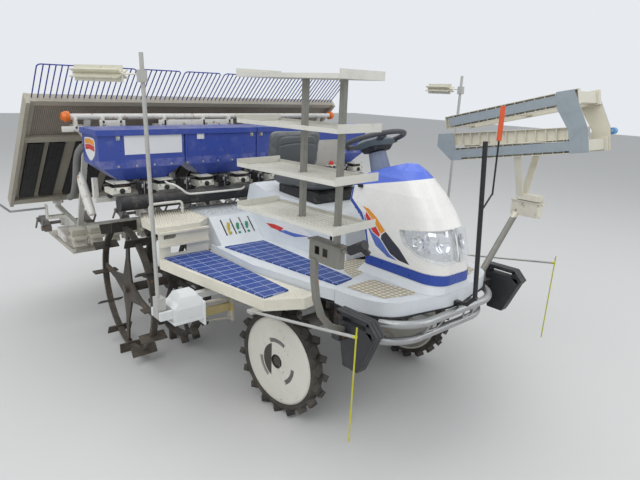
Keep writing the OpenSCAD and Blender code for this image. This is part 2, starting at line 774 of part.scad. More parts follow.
// Lift links
module lower_link() car() color("gray") {
    a = [pivot_x, 0, pivot_low_z];
    b = [hitch_x, 0, hitch_z];
    difference() {
        union() {
            both_sides() {
                translate([0, -link_y, 0]) bar(a, b, 26, 46);
                for (p = [a, b]) shaft_y(p.x, p.z, -link_y - 15, -link_y + 15, 30);
            }
            translate((a + b) / 2) rotate([90, 0, 0]) cylinder(h = 2 * link_y, r = 18, center = true);
            both_sides() shaft_y(a.x, a.z, -link_y - 40, -link_y - 14, pin_r);
        }
        both_sides() shaft_y(b.x, b.z, -link_y - 20, -link_y + 20, pin_r + shaft_gap);
    }
}

module upper_link() car() color("gray") {
    a = [pivot_x, 0, pivot_up_z];
    b = [hitch_x, 0, hitch_z + hitch_rise];
    difference() {
        union() {
            bar(a, b, 26, 40);
            for (p = [a, b]) shaft_y(p.x, p.z, -15, 15, 28);
            shaft_y(a.x, a.z, -37, 37, pin_r);
        }
        shaft_y(b.x, b.z, -20, 20, pin_r + 2);
    }
}

// Planting section
module planting_frame() car() color("ivory") {
    difference() {
        union() {
            block([beam_x - beam_s / 2, -beam_half, beam_z - beam_s / 2],
                [beam_x + beam_s / 2, beam_half, beam_z + beam_s / 2]);
            // arms that carry the levelling rotor
            for (y = [-1196, -205, 191, 1182])
                profile_y(y, y + 14) polygon([[beam_x, beam_z - 30], [levelling_x + 26, levelling_z - 26],
                    [levelling_x + 26, levelling_z + 26], [beam_x, beam_z + 34]]);
        }
        shaft_y(levelling_x, levelling_z, -1300, 1300, 16 + shaft_gap);
    }
    // hitch with the lower pins and the upper pin
    both_sides() {
        block([beam_x, -link_y - 36, hitch_z - 28], [hitch_x + 28, -link_y - 22, hitch_z + 28]);
        shaft_y(hitch_x, hitch_z, -link_y - 30, -link_y + 16, pin_r);
    }
    both_sides() {
        block([beam_x, -40, beam_z], [beam_x + 14, -24, hitch_z + hitch_rise + 28]);
        block([beam_x, -40, hitch_z + hitch_rise - 28], [hitch_x + 28, -24, hitch_z + hitch_rise + 28]);
    }
    shaft_y(hitch_x, hitch_z + hitch_rise, -30, 30, pin_r);
    // posts, the cross pipe that carries the lamps, and rollers behind the table
    for (y = [-1040, -420, 420, 1040]) {
        bar([beam_x + 10, y, beam_z + 30], [lamp_pipe_x, y, lamp_pipe_z], 40, 20);
        bar([lamp_pipe_x - 68, y, lamp_pipe_z - 162],
            [table_x + 1000 * cos(table_slope) + 30, y, table_z + 1000 * sin(table_slope) - 32], 20, 14);
        shaft_y(table_x + 1000 * cos(table_slope) + 18, table_z + 1000 * sin(table_slope) - 20, y - 40, y + 40, 20);
    }
    shaft_y(lamp_pipe_x, lamp_pipe_z, -lamp_y, lamp_y, 20);
    // rails under the table's lower edge
    for (y = [-1040, -420, 420, 1040]) {
        bar([table_x + 40, y, table_z - 50], [beam_x, y, beam_z + 20], 40, 20);
        shaft_y(table_x + 66, table_z - 12, y - 40, y + 40, 14);
        block([table_x + 60, y - 18, table_z - 50], [table_x + 80, y + 18, table_z - 18]);
    }
    // brackets of the side guards
    both_sides() {
        block([guard_x - 25, -1200, 768], [guard_x + 25, -1035, 792]);
        block([guard_x - 25, -1200, 768], [guard_x + 25, -1188, 885]);
    }
}

module planting_cases() car() color("ivory") {
    for (i = [-1.5 : 1 : 1.5]) translate([0, i * 2 * row_pitch, 0]) difference() {
        union() {
            profile_y(-28, 28) polygon([[beam_x - beam_s / 2 - seat_gap, beam_z + 30],
                [beam_x - beam_s / 2 - seat_gap, beam_z - 45], [rotor_x + 20, rotor_z - 38],
                [rotor_x - 30, rotor_z - 20], [rotor_x - 36, rotor_z + 20], [rotor_x, rotor_z + 40],
                [rotor_x + 260, rotor_z + 60]]);
            shaft_y(rotor_x, rotor_z, -44, 44, 34);
        }
        shaft_y(rotor_x, rotor_z, -60, 60, 14 + shaft_gap);
    }
}

module planting_rotors() car() color("silver") {
    for (i = [-1.5 : 1 : 1.5]) translate([0, i * 2 * row_pitch, 0]) {
        shaft_y(rotor_x, rotor_z, -row_pitch / 2 - 20, row_pitch / 2 + 20, 14);
        for (s = [-1, 1]) translate([rotor_x, s * row_pitch / 2, rotor_z]) rotate([0, 20, 0]) {
            rotate([90, 0, 0]) linear_extrude(50, center = true) rotor_case();
            for (e = [-1, 1]) rotate([0, e > 0 ? 0 : 180, 0]) {
                translate([70, s * 35, 0]) rotate([90, 0, 0]) cylinder(h = 24, r = 22, center = true);
                bar([70, s * 42, 0], [claw_r * 0.72, s * 42, claw_r * 0.68], 12, 14);
            }
        }
    }
}

module floats() car() color("khaki") {
    w = row_pitch - 130;
    for (i = float_rows) translate([0, i * row_pitch, 0])
        profile_y(-w / 2, w / 2) polygon([[float_rear, float_z + 12], [beam_x - 60, float_z],
            [beam_x + 30, float_z + 50], [beam_x + 20, float_z + 62], [beam_x - 70, float_z + 34],
            [float_rear, float_z + 34]]);
    for (i = float_rows) translate([0, i * row_pitch, 0])
        block([beam_x - 25, -10, float_z + 30], [beam_x + 5, 10, beam_z - beam_s / 2 - seat_gap]);
}

module side_lamps() car() color("orange") {
    both_sides() translate([lamp_pipe_x, -lamp_y - seat_gap, lamp_pipe_z]) rotate([90, 0, 0]) {
        cylinder(h = 26, r = 36);
        translate([0, 0, 26]) cylinder(h = 22, r1 = 36, r2 = 24);
    }
}

// Children in the table's frame: X runs up the slope from the lower edge, Z faces the seedlings
module at_table() {
    car() translate([table_x, table_shift, table_z]) rotate([0, -table_slope, 0]) children();
}

module seedling_table() at_table() color("rosybrown") {
    half = table_w / 2;
    // upper panel, cross rails and side plates
    block([870, -half, 0], [table_len - 40, half, panel_t]);
    block([60, -half, panel_t - 8], [870, half, panel_t]);
    for (x = [0, 820]) block([x, -half, -20], [x + 60, half, panel_t - 7]);
    block([table_len - 42, -half - side_w, -22], [table_len, half + side_w, 42]);
    for (s = [-1, 1]) on_side(s) block([0, -half - side_w, -38], [table_len, -half + 1, 46]);
    // dividers between the rows
    for (i = [-3 : 3]) block([10, i * row_pitch - 8, panel_t - 1], [table_len - 40, i * row_pitch + 8, 42]);
}

module feed_belts() at_table() color([0.08, 0.08, 0.08]) {
    for (i = [-3.5 : 1 : 3.5], s = [-1, 1]) translate([0, i * row_pitch + s * 72, 0]) {
        block([90, -52, -16], [800, 52, panel_t - 8 - seat_gap]);
    }
}

module table_guards() at_table() color("midnightblue") {
    for (i = [-3.5 : 1 : 3.5]) translate([0, i * row_pitch, 0]) bail();
}

// One bail of nine bars with a round-cornered top
module bail() {
    gap = 37;
    d = 8;
    top = table_len + bail_len;
    for (k = [-4 : 4]) rod([table_len + seat_gap, k * gap, 12], [top - (abs(k) == 4 ? 25 : 0), k * gap, 12], d);
    rod([top, -4 * gap + 25, 12], [top, 4 * gap - 25, 12], d);
    for (s = [-1, 1]) on_side(s) translate([top - 25, -4 * gap + 25, 12]) rotate([0, 0, -90])
        rotate_extrude(angle = 90) translate([25, 0]) circle(d = d);
}

module levelling_rotor() car() color("ivory") both_sides() {
    shaft_y(levelling_x, levelling_z, -1180, -190, 16);
    for (y = [-1100 : 130 : -250]) translate([levelling_x, y, levelling_z]) rotate([90, 0, 0])
        linear_extrude(90, center = true) for (a = [0 : 60 : 300]) rotate(a)
            polygon([[0, -12], [76, -9], [80, 9], [0, 12]]);
}

// Marker arm, folded upright: foot, pole, and toothed roller at the top
module marker_arm(s) car() color("silver") on_side(s) {
    translate([marker_x, -marker_y, 0]) {
        difference() {
            block([-30, -22, marker_hinge_z - 22], [30, 22, marker_hinge_z + 90]);
            translate([-60, 0, marker_hinge_z]) rotate([0, 90, 0]) cylinder(h = 120, r = pin_r + shaft_gap);
        }
        rod([0, -7, marker_hinge_z + 85], [0, -27, marker_top_z], 20);
        block([-18, -45, 1850], [18, -10, 1905]);
        rod([0, -27, 1885], [-180, -90, 1885], 8);
        aim([-120, -70, 1885], [-120 - marker_roller_len * 0.9, -70 - marker_roller_len * 0.35, 1885])
            for (a = [0 : 60 : 300]) rotate([0, 0, a]) translate([0, -3, 0]) cube([38, 6, marker_roller_len]);
    }
}

// Plan strip along the right edge of the main floor, from offset a outboard, w wide
module floor_edge(a, w) {
    polygon([[-700, -622 + a], [-200, -632 + a], [233, -551 + a], [372, -508 + a],
        [372, -508 + a + w], [233, -551 + a + w], [-200, -632 + a + w], [-700, -622 + a + w]]);
}

// Blue band at the bonnet's foot
module bonnet_band() car() color("royalblue") {
    translate([0, 0, 905.3]) linear_extrude(52.7) slice_plan([0, 236, 758, bonnet_w / 2 + 3]);
}

module cowl_base() car() color("whitesmoke") hull() {
    bonnet_slice([floor_z + seat_gap, 205, 757, bonnet_w / 2 + 34]);
    bonnet_slice([904.5, 231, 755, bonnet_w / 2 - 1]);
}

// Rods that keep the table's corners off walls and banks
module side_guards() car() color("silver") {
    both_sides() pipe([[guard_x, -1200.3, 859], [guard_x, -1450, 859], [guard_x, -section_half + 8, 935],
        [guard_x, -section_half + 8, 1090]], 16);
}

module rotor_case() {
    square([140, 60], center = true);
    for (x = [-70, 70]) translate([x, 0]) circle(34);
}

// Marker drives on the chassis, with the hinge pins of the marker arms
module marker_drives() car() color("whitesmoke") both_sides() {
    block([marker_x - 92, -1158, 646], [marker_x + 84, -978, 657]);
    intersection() {
        profile_y(-1150, -985) polygon([[marker_x - 72, 655], [marker_x - 72, 742], [marker_x - 44, 792],
            [marker_x - 20, 802], [marker_x + 34, 802], [marker_x + 54, 778], [marker_x + 72, 722],
            [marker_x + 72, 655]]);
        translate([marker_x - 100, 0, 0]) rotate([90, 0, 90]) linear_extrude(200)
            polygon([[-1150, 650], [-1150, 728], [-1122, 752], [-1104, 800], [-1024, 806], [-1002, 770],
                [-985, 758], [-985, 650]]);
    }
    for (x = [-56, 36]) block([marker_x + x, -marker_y - 22, marker_hinge_z - 22],
        [marker_x + x + 20, -1149, marker_hinge_z + 22]);
    rod([marker_x - 56, -marker_y, marker_hinge_z], [marker_x + 56, -marker_y, marker_hinge_z], 2 * pin_r);
    // bracket with a spring rod between two plates
    block([-176, -992, 612], [-112, -983, 746]);
    block([-164, -826, 592], [-102, -817, 736]);
    rod([-140, -988, 728], [-136, -822, 720], 18);
    rod([-140, -988, 626], [-130, -822, 606], 12);
    block([-152, -988, 650], [-130, -822, 694]);
    // stay back to the cross member
    block([marker_x - 125, -1010, 680], [marker_x - 60, -985, 720]);
    block([-330, -1010, rail_z], [-290, -760, rail_z + 34.7]);
}

// Solid form of the bonnet, its walls moved in by inset
module bonnet_form(inset) {
    w = bonnet_w / 2;
    sections = [[958.3, 245, 756, w], [1060, 225, 748, w - 3], [1145, 185, 722, w - 8],
        [1240, 66, 668, w - 18], [1330, 76, 602, w - 30], [1405, 165, 534, w - 52],
        [1450, 275, 486, w - 84], [bonnet_z - 0.5, 370, 430, 30]];
    last = inset > 0 ? 3 : len(sections) - 1;
    for (i = [0 : last - 1]) hull() {
        bonnet_slice(sections[i] + [0, inset, -inset, -inset]);
        bonnet_slice(sections[i + 1] + [0, inset, -inset, -inset]);
    }
}

// The right headlamp's outline seen from the side, cut through the bonnet's right half
module lamp_prism(grow) {
    translate([0, -8 + grow, 0]) rotate([90, 0, 0]) linear_extrude(200)
        polygon([[470 - grow, 1146 + grow], [600, 1168 + grow], [705, 1182 + grow], [800, 1175 + grow],
            [800, 1020 - grow], [745, 1020 - grow], [605, 1040 - grow], [508 - grow, 1082 - grow]]);
}

module column_form(grow) {
    translate([hub_x, 0, hub_z]) rotate([0, -steering_tilt, 0]) translate([0, 0, -290 - grow])
        cylinder(h = 215 + grow, r1 = 66 + grow, r2 = 50 + grow);
}

module slice_plan(s) {
    r = min(120, (s[2] - s[1]) / 2);
    k = min(0.8, s[3] / r);
    hull() {
        for (y = [-1, 1]) translate([s[2] - r, y * (s[3] - r * k)]) scale([1, k]) circle(r, $fn = 36);
        for (y = [-1, 1]) translate([s[1] + 16, y * (s[3] - 16)]) circle(16, $fn = 16);
    }
}

module rack_pillars() car() color("darkgray") {
    both_sides() difference() {
        union() {
            block([560, -rack_y - 22, box_z - 95], [rack_x + 20, -rack_y + 22, box_z]);
            translate([rack_x + 20, -rack_y, box_z - 95]) cylinder(h = 94, r = 21.8);
            block([554, -rack_y - 29, box_z - 6], [rack_x + 52, -rack_y + 29, box_z]);
        }
        translate([rack_x, -rack_y, box_z - 100]) cylinder(h = 110, r = 11 + shaft_gap);
        for (x = [-114, -62]) block([rack_x + x, -rack_y - 30, box_z - 62],
            [rack_x + x + 31, -rack_y - 17, box_z - 26]);
        block([570, -rack_y - 17.2, box_z - 88], [rack_x - 20, -rack_y + 17, box_z - 8]);
    }
    // tab of the right rack's lock
    block([rack_x + 45, -rack_y - 12, box_z - 18], [790, -rack_y + 12, box_z - 5]);
    // curved flat bar down to the front cross member on the right
    translate([572, 0, 0]) rotate([90, 0, 90]) linear_extrude(36)
        polygon([[-848, 1150], [-845, 1060], [-828, 950], [-795, 860], [-740, 790], [-670, rail_z + 69.8],
            [-600, rail_z + 69.8], [-600, rail_z + 88], [-660, rail_z + 88], [-725, 812], [-778, 872],
            [-810, 955], [-827, 1060], [-830, 1150]]);
    // straight tube on the left
    on_side(1) rod([590, -rack_y + 8, box_z - 88], [590, -494, 806], 38);
    on_side(1) block([572, -524, rail_z + 69.8], [608, -474, 830]);
}

module lid_hinge(r, half) {
    for (y = lid_hinges) shaft_y(lid_hinge_x, lid_hinge_z, y - half, y + half, r);
}

chassis_frame();
transmission();
front_axle();
rear_axle();
engine_block();
main_floor();
front_floor();
step_decks();
rear_decks();
floor_mats();
engine_cover();
seat_base();
seat();
bonnet();
bonnet_band();
cowl_base();
headlamps();
steering_column();
front_bumper();
mascot_pole();
side_boxes();
side_marker_rods();
rack_pillars();
marker_drives();
levers();
handrails();
hopper_frame();
metering_units();
air_duct();
hoppers();
knuckle(-1);  // knuckle_r
knuckle(1);  // knuckle_l
front_tyre(-1);  // front_tyre_r
front_tyre(1);  // front_tyre_l
front_disc(-1);  // front_disc_r
front_disc(1);  // front_disc_l
rear_wheel(-1);  // rear_wheel_r
rear_wheel(1);  // rear_wheel_l
aux_wheel(-1);  // aux_wheel_r
aux_wheel(1);  // aux_wheel_l
steering_wheel();
seedling_rack_r();
seedling_rack_l();
hopper_lid(-1);  // hopper_lid_r
hopper_lid(1);  // hopper_lid_l
lower_link();
upper_link();
planting_frame();
planting_cases();
floats();
side_lamps();
side_guards();
seedling_table();
feed_belts();
table_guards();
planting_rotors();
levelling_rotor();
marker_arm(-1);  // marker_arm_r
marker_arm(1);  // marker_arm_l
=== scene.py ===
# Riding rice transplanter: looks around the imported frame.
# P(x, y, z) takes millimetres measured from the ground under the front axle.
import math

import bpy
import bmesh
from mathutils import Vector, Matrix
from mathutils.bvhtree import BVHTree
from mathutils.geometry import delaunay_2d_cdt


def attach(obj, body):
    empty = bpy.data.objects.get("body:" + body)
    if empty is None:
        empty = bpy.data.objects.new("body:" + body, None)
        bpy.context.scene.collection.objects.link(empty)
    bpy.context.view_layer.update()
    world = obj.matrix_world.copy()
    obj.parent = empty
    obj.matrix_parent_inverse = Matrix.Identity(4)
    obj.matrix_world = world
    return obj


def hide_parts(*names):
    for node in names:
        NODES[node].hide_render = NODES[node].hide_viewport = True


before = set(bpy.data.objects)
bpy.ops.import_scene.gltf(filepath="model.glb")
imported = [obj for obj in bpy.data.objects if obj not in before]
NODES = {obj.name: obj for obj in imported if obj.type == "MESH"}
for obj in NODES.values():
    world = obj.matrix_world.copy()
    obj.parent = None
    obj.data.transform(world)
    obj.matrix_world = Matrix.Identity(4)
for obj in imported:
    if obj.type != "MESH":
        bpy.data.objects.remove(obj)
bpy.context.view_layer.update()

# Sizes that several pieces share, in millimetres unless they say otherwise.
FRONT_AXLE = 0.8659        # the front axle's place along the part, in metres
FRONT_WHEEL_R = 0.325      # in metres
KNUCKLE_Y = 0.470          # in metres
PARKED_STEER = 7           # degrees that the front wheels are parked at
FLOOR_TOP = 1000           # rays that look for the floor start here
SIDE = 420                 # rays that look for the bonnet's flanks start here
FLANKS = (("r", "y+", -SIDE), ("l", "y-", SIDE))
REAR_DECK_Z = 1015
STEP_DECK_Z = 820
HOPPER_FACE = -1100        # the hoppers' front wall
SHELF_Z, SHELF_PITCH = 1316, 192
RACK_POST = (709, -822)    # the right rack's pivot
RACK_TURN = 4              # degrees that the right rack is parked at
HUB = (108, 0, 1580)       # the steering wheel's hub
HUB_LEAN = -21             # degrees
TABLE_SLOPE = math.radians(43)
TABLE_X = -2615.5          # the seedling table's foot
TABLE_Z = (0.48 + 0.56 * math.sin(math.radians(25)) + 0.145) * 1000
TABLE_SHIFT = -49
PANEL_TOP = 22             # the table's upper face above its own frame
LANE_PITCH, LANES = 330, 8


def P(x, y, z):
    """A point of the part, in metres, from millimetres measured under the front axle."""
    return Vector((x / 1000 + FRONT_AXLE, y / 1000, z / 1000))


# ---------- camera, light, floor ----------
scene = bpy.context.scene
scene.view_settings.view_transform = "Standard"


def camera():
    """The photograph's camera, as solved for its place, its three angles and its focal length."""
    data = bpy.data.cameras.new("camera")
    data.lens = 29.807
    data.sensor_width = 36
    data.clip_end = 200
    cam = bpy.data.objects.new("camera", data)
    scene.collection.objects.link(cam)
    yaw, pitch, roll = (math.radians(v) for v in (138.82, 15.9, 2.15))
    d = Vector((math.cos(yaw) * math.cos(pitch), math.sin(yaw) * math.cos(pitch), -math.sin(pitch)))
    right0 = Vector((math.sin(yaw), -math.cos(yaw), 0))
    up0 = right0.cross(d)
    right = math.cos(roll) * right0 + math.sin(roll) * up0
    up = -math.sin(roll) * right0 + math.cos(roll) * up0
    m = Matrix((right, up, -d)).transposed().to_4x4()
    m.translation = P(2239, -2253, 1850)
    cam.matrix_world = m
    scene.camera = cam


def lights():
    """Three soft lamps and a pale sky, which shows brighter to the camera and in reflections."""
    world = bpy.data.worlds.new("sky")
    scene.world = world
    world.use_nodes = True
    nt = world.node_tree
    nt.nodes.clear()
    out = nt.nodes.new("ShaderNodeOutputWorld")
    sky = nt.nodes.new("ShaderNodeBackground")
    sky.inputs["Color"].default_value = (0.93, 0.96, 1.0, 1)
    sky.inputs["Strength"].default_value = 0.62
    white = nt.nodes.new("ShaderNodeBackground")
    white.inputs["Color"].default_value = (0.80, 0.83, 0.87, 1)
    white.inputs["Strength"].default_value = 1.0
    path = nt.nodes.new("ShaderNodeLightPath")
    mix = nt.nodes.new("ShaderNodeMixShader")
    seen = path.outputs["Is Camera Ray"]
    for kind in ("Is Glossy Ray", "Is Transmission Ray"):
        either = nt.nodes.new("ShaderNodeMath")
        either.operation = "MAXIMUM"
        nt.links.new(seen, either.inputs[0])
        nt.links.new(path.outputs[kind], either.inputs[1])
        seen = either.outputs[0]
    nt.links.new(seen, mix.inputs[0])
    nt.links.new(sky.outputs[0], mix.inputs[1])
    nt.links.new(white.outputs[0], mix.inputs[2])
    nt.links.new(mix.outputs[0], out.inputs[0])
    for name, place, aim, size, power in (
            ("key", (3.0, -6.0, 7.0), (0, 0, 0.8), 7.0, 330),
            ("fill", (5.5, 4.0, 5.0), (0, 0, 0.8), 6.0, 120),
            ("top", (-2.0, 0.0, 8.0), (0, 0, 0.8), 8.0, 240)):
        data = bpy.data.lights.new(name, "AREA")
        data.size = size
        data.energy = power
        lamp = bpy.data.objects.new(name, data)
        scene.collection.objects.link(lamp)
        lamp.location = place
        lamp.rotation_euler = (Vector(aim) - Vector(place)).to_track_quat("-Z", "Y").to_euler()


# ---------- small mesh tools ----------
def shade(me, sharp):
    """Smooth shading, broken at edges sharper than so many degrees."""
    for f in me.polygons:
        f.use_smooth = True
    if sharp:
        me.set_sharp_from_angle(angle=math.radians(sharp))


def make(name, verts, faces, material, body, smooth=False, sharp=30):
    """A piece from points in metres, which rides on a body."""
    me = bpy.data.meshes.new(name)
    me.from_pydata([tuple(v) for v in verts], [], faces)
    me.validate()
    me.update()
    o = bpy.data.objects.new(name, me)
    scene.collection.objects.link(o)
    me.materials.append(M[material])
    if smooth:
        shade(me, sharp)
    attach(o, body)
    return o


def soften(o, bevel, sharp, recalc=False):
    """Bevels every edge of the piece and shades it smooth."""
    bm = bmesh.new()
    bm.from_mesh(o.data)
    if recalc:
        bmesh.ops.recalc_face_normals(bm, faces=bm.faces)
    bmesh.ops.bevel(bm, geom=bm.edges[:], offset=bevel / 1000, segments=2, affect="EDGES", profile=0.5)
    bm.to_mesh(o.data)
    bm.free()
    shade(o.data, sharp)
    return o


def box_faces(k):
    """The faces of a box whose corners start at vertex k: four below, then four above."""
    sides = ((0, 3, 2, 1), (4, 5, 6, 7), (0, 1, 5, 4), (1, 2, 6, 5), (2, 3, 7, 6), (3, 0, 4, 7))
    return [tuple(k + i for i in f) for f in sides]


def ring_faces(start, rings, seg):
    """Quads between rings of seg points each, with a cap on both ends."""
    faces = []
    for i in range(rings - 1):
        for k in range(seg):
            a, b = start + i * seg + k, start + i * seg + (k + 1) % seg
            faces.append((a, b, b + seg, a + seg))
    last = start + (rings - 1) * seg
    faces.append(tuple(start + k for k in range(seg))[::-1])
    faces.append(tuple(last + k for k in range(seg)))
    return faces


def sides(outline):
    """The right side's outline as it is, and the left side's mirrored."""
    return (("r", outline), ("l", [(x, -y) for x, y in outline]))


def moved(items, y):
    """Boxes moved sideways."""
    return [((a[0], a[1] + y, a[2]), (b[0], b[1] + y, b[2])) for a, b in items]


TREES = {}


def tree(node):
    """The node's faces, for rays; built once for each node."""
    if node not in TREES:
        me = NODES[node].data
        TREES[node] = BVHTree.FromPolygons([v.co.copy() for v in me.vertices],
                                           [tuple(p.vertices) for p in me.polygons])
    return TREES[node]


def in_polygon(x, y, poly):
    hit = False
    j = len(poly) - 1
    for i in range(len(poly)):
        xi, yi = poly[i]
        xj, yj = poly[j]
        if (yi > y) != (yj > y) and x < (xj - xi) * (y - yi) / (yj - yi) + xi:
            hit = not hit
        j = i
    return hit


def smooth_line(points, n=8):
    """A Catmull-Rom curve through the points."""
    out = []
    pts = [points[0]] + list(points) + [points[-1]]
    for i in range(1, len(pts) - 2):
        p0, p1, p2, p3 = pts[i - 1:i + 3]
        for k in range(n):
            t = k / n
            out.append(tuple(0.5 * ((2 * b) + (c - a) * t + (2 * a - 5 * b + 4 * c - e) * t * t
                                    + (3 * b - a - 3 * c + e) * t ** 3)
                             for a, b, c, e in zip(p0, p1, p2, p3)))
    out.append(tuple(points[-1]))
    return out


def decal(name, outline, nodes, direction, start, material, body="chassis", step=9.0, lift=0.0007):
    """A thin film in the outline, laid on the nodes' surfaces.

    outline is in the two axes other than direction's, in millimetres. direction is "y-", "y+" or "z-".
    """
    ray = Vector({"y-": (0, -1, 0), "y+": (0, 1, 0), "z-": (0, 0, -1)}[direction])
    n = len(outline)
    edge = []
    for i in range(n):
        a, b = outline[i], outline[(i + 1) % n]
        k = max(1, int(math.dist(a, b) / step))
        edge += [(a[0] + (b[0] - a[0]) * t / k, a[1] + (b[1] - a[1]) * t / k) for t in range(k)]
    pts = [Vector(p) for p in edge]
    m = len(pts)
    x0, x1 = min(p[0] for p in edge), max(p[0] for p in edge)
    y0, y1 = min(p[1] for p in edge), max(p[1] for p in edge)
    gx = x0 + step / 2
    while gx < x1:
        gy = y0 + step / 2
        while gy < y1:
            if in_polygon(gx, gy, edge) and min(math.dist((gx, gy), e) for e in edge) > step * 0.45:
                pts.append(Vector((gx, gy)))
            gy += step
        gx += step
    v2, _, faces, _, _, _ = delaunay_2d_cdt(pts, [(i, (i + 1) % m) for i in range(m)], [], 1, 1e-5)
    verts, keep = [], []
    for p in v2:
        far = P(p.x, start, p.y) if direction[0] == "y" else P(p.x, p.y, start)
        best = None
        for nd in nodes:
            h = tree(nd).ray_cast(far, ray)
            if h[0] is not None and (best is None or h[3] < best[3]):
                best = h
        if best is None:
            verts.append(far)
            keep.append(False)
        else:
            nrm = best[1] if best[1].dot(ray) < 0 else -best[1]
            verts.append(best[0] + nrm * lift)
            keep.append(True)
    faces = [list(f) for f in faces if all(keep[i] for i in f)]
    o = make(name, verts, faces, material, body, smooth=True, sharp=25)
    # the film's faces look outwards
    me = o.data
    if me.polygons and sum(p.normal.dot(ray) * p.area for p in me.polygons) > 0:
        me.flip_normals()
    return o


def tube(name, points, r, material, body, n=8, seg=10, profile=None):
    """A round tube, in millimetres, along a smooth line through the points."""
    line = smooth_line(points, n) if n > 1 else points
    line = [P(*p) for p in line]
    verts = []
    side = None
    for i, p in enumerate(line):
        t = (line[min(i + 1, len(line) - 1)] - line[max(i - 1, 0)]).normalized()
        if side is None:
            side = t.orthogonal().normalized()
        side = (side - t * side.dot(t)).normalized()
        other = t.cross(side)
        rr = (r if profile is None else r * profile(i)) / 1000
        for k in range(seg):
            a = 2 * math.pi * k / seg
            verts.append(p + (side * math.cos(a) + other * math.sin(a)) * rr)
    return make(name, verts, ring_faces(0, len(line), seg), material, body, smooth=True, sharp=50)


def boxes(name, items, material, body, bevel=0.0):
    """Boxes as one piece; each item is (low corner, high corner) in millimetres."""
    verts, faces = [], []
    for a, b in items:
        faces += box_faces(len(verts))
        for z in (a[2], b[2]):
            for x, y in ((a[0], a[1]), (b[0], a[1]), (b[0], b[1]), (a[0], b[1])):
                verts.append(P(x, y, z))
    o = make(name, verts, faces, material, body)
    return soften(o, bevel, 40) if bevel else o


def lathe(name, places, profile, material, body, seg=12):
    """Turned pieces: places are (point mm, axis), profile is [(radius mm, height mm), ...]."""
    verts, faces = [], []
    for c, axis in places:
        axis = Vector(axis).normalized()
        u = axis.orthogonal().normalized()
        w = axis.cross(u)
        c = P(*c)
        faces += ring_faces(len(verts), len(profile), seg)
        for r, h in profile:
            for k in range(seg):
                a = 2 * math.pi * k / seg
                verts.append(c + (u * math.cos(a) + w * math.sin(a)) * (r / 1000) + axis * (h / 1000))
    return make(name, verts, faces, material, body, smooth=True, sharp=40)


# ---------- materials ----------
def new_nodes(name):
    m = bpy.data.materials.new(name)
    m.use_nodes = True
    nt = m.node_tree
    nt.nodes.clear()
    out = nt.nodes.new("ShaderNodeOutputMaterial")
    bsdf = nt.nodes.new("ShaderNodeBsdfPrincipled")
    nt.links.new(bsdf.outputs[0], out.inputs[0])
    return m, nt, bsdf


def rgba(c):
    return (c[0], c[1], c[2], 1)


class Graph:
    """Small helper around a node tree: every method returns an output socket."""

    def __init__(self, nt):
        self.nt = nt
        self.coord = nt.nodes.new("ShaderNodeTexCoord").outputs["Object"]
        self.geo = nt.nodes.new("ShaderNodeNewGeometry")

    def link(self, a, b):
        self.nt.links.new(a, b)

    def noise(self, scale, detail=4, rough=0.6):
        n = self.nt.nodes.new("ShaderNodeTexNoise")
        n.inputs["Scale"].default_value = scale
        n.inputs["Detail"].default_value = detail
        n.inputs["Roughness"].default_value = rough
        self.link(self.coord, n.inputs["Vector"])
        return n.outputs["Fac"]

    def cells(self, scale):
        """Height that falls towards the middle of each cell, for facets."""
        n = self.nt.nodes.new("ShaderNodeTexVoronoi")
        n.inputs["Scale"].default_value = scale
        self.link(self.coord, n.inputs["Vector"])
        return n.outputs["Distance"]

    def ramp(self, fac, lo, hi, a=0.0, b=1.0):
        n = self.nt.nodes.new("ShaderNodeMapRange")
        for i, v in enumerate((lo, hi, a, b)):
            n.inputs[i + 1].default_value = v
        n.clamp = True
        self.link(fac, n.inputs[0])
        return n.outputs[0]

    def math(self, op, a, b=None):
        n = self.nt.nodes.new("ShaderNodeMath")
        n.operation = op
        for i, v in enumerate((a, b)):
            if v is None:
                continue
            if isinstance(v, (int, float)):
                n.inputs[i].default_value = v
            else:
                self.link(v, n.inputs[i])
        return n.outputs[0]

    def mix(self, fac, a, b):
        n = self.nt.nodes.new("ShaderNodeMix")
        n.data_type = "RGBA"
        for s, v in ((n.inputs[0], fac), (n.inputs[6], a), (n.inputs[7], b)):
            if isinstance(v, (int, float)):
                s.default_value = v
            elif isinstance(v, tuple):
                s.default_value = rgba(v)
            else:
                self.link(v, s)
        return n.outputs[2]

    def split(self, vec):
        n = self.nt.nodes.new("ShaderNodeSeparateXYZ")
        self.link(vec, n.inputs[0])
        return n.outputs

    def axis(self, i):
        return self.split(self.coord)[i]

    def times(self, a, b):
        return self.math("MULTIPLY", a, b)

    def plus(self, a, b):
        return self.math("ADD", a, b)

    def minus(self, a, b):
        return self.math("SUBTRACT", a, b)

    def under(self, a, b):
        return self.math("LESS_THAN", a, b)

    def over(self, a, b):
        return self.math("GREATER_THAN", a, b)

    def between(self, a, lo, hi):
        return self.times(self.over(a, lo), self.under(a, hi))

    def stripes(self, value, pitch, share):
        return self.under(self.math("FRACT", self.math("DIVIDE", value, pitch)), share)

    def lines(self, i, pitch, share):
        return self.stripes(self.axis(i), pitch, share)

    def off_y(self, y):
        return self.math("ABSOLUTE", self.minus(self.axis(1), y))

    def bump(self, height, strength, dist, normal=None):
        n = self.nt.nodes.new("ShaderNodeBump")
        n.inputs["Strength"].default_value = strength
        n.inputs["Distance"].default_value = dist
        self.link(height, n.inputs["Height"])
        if normal is not None:
            self.link(normal, n.inputs["Normal"])
        return n.outputs[0]


MUD = (0.155, 0.128, 0.098)
DUST = (0.42, 0.39, 0.33)
RUST = (0.21, 0.085, 0.035)


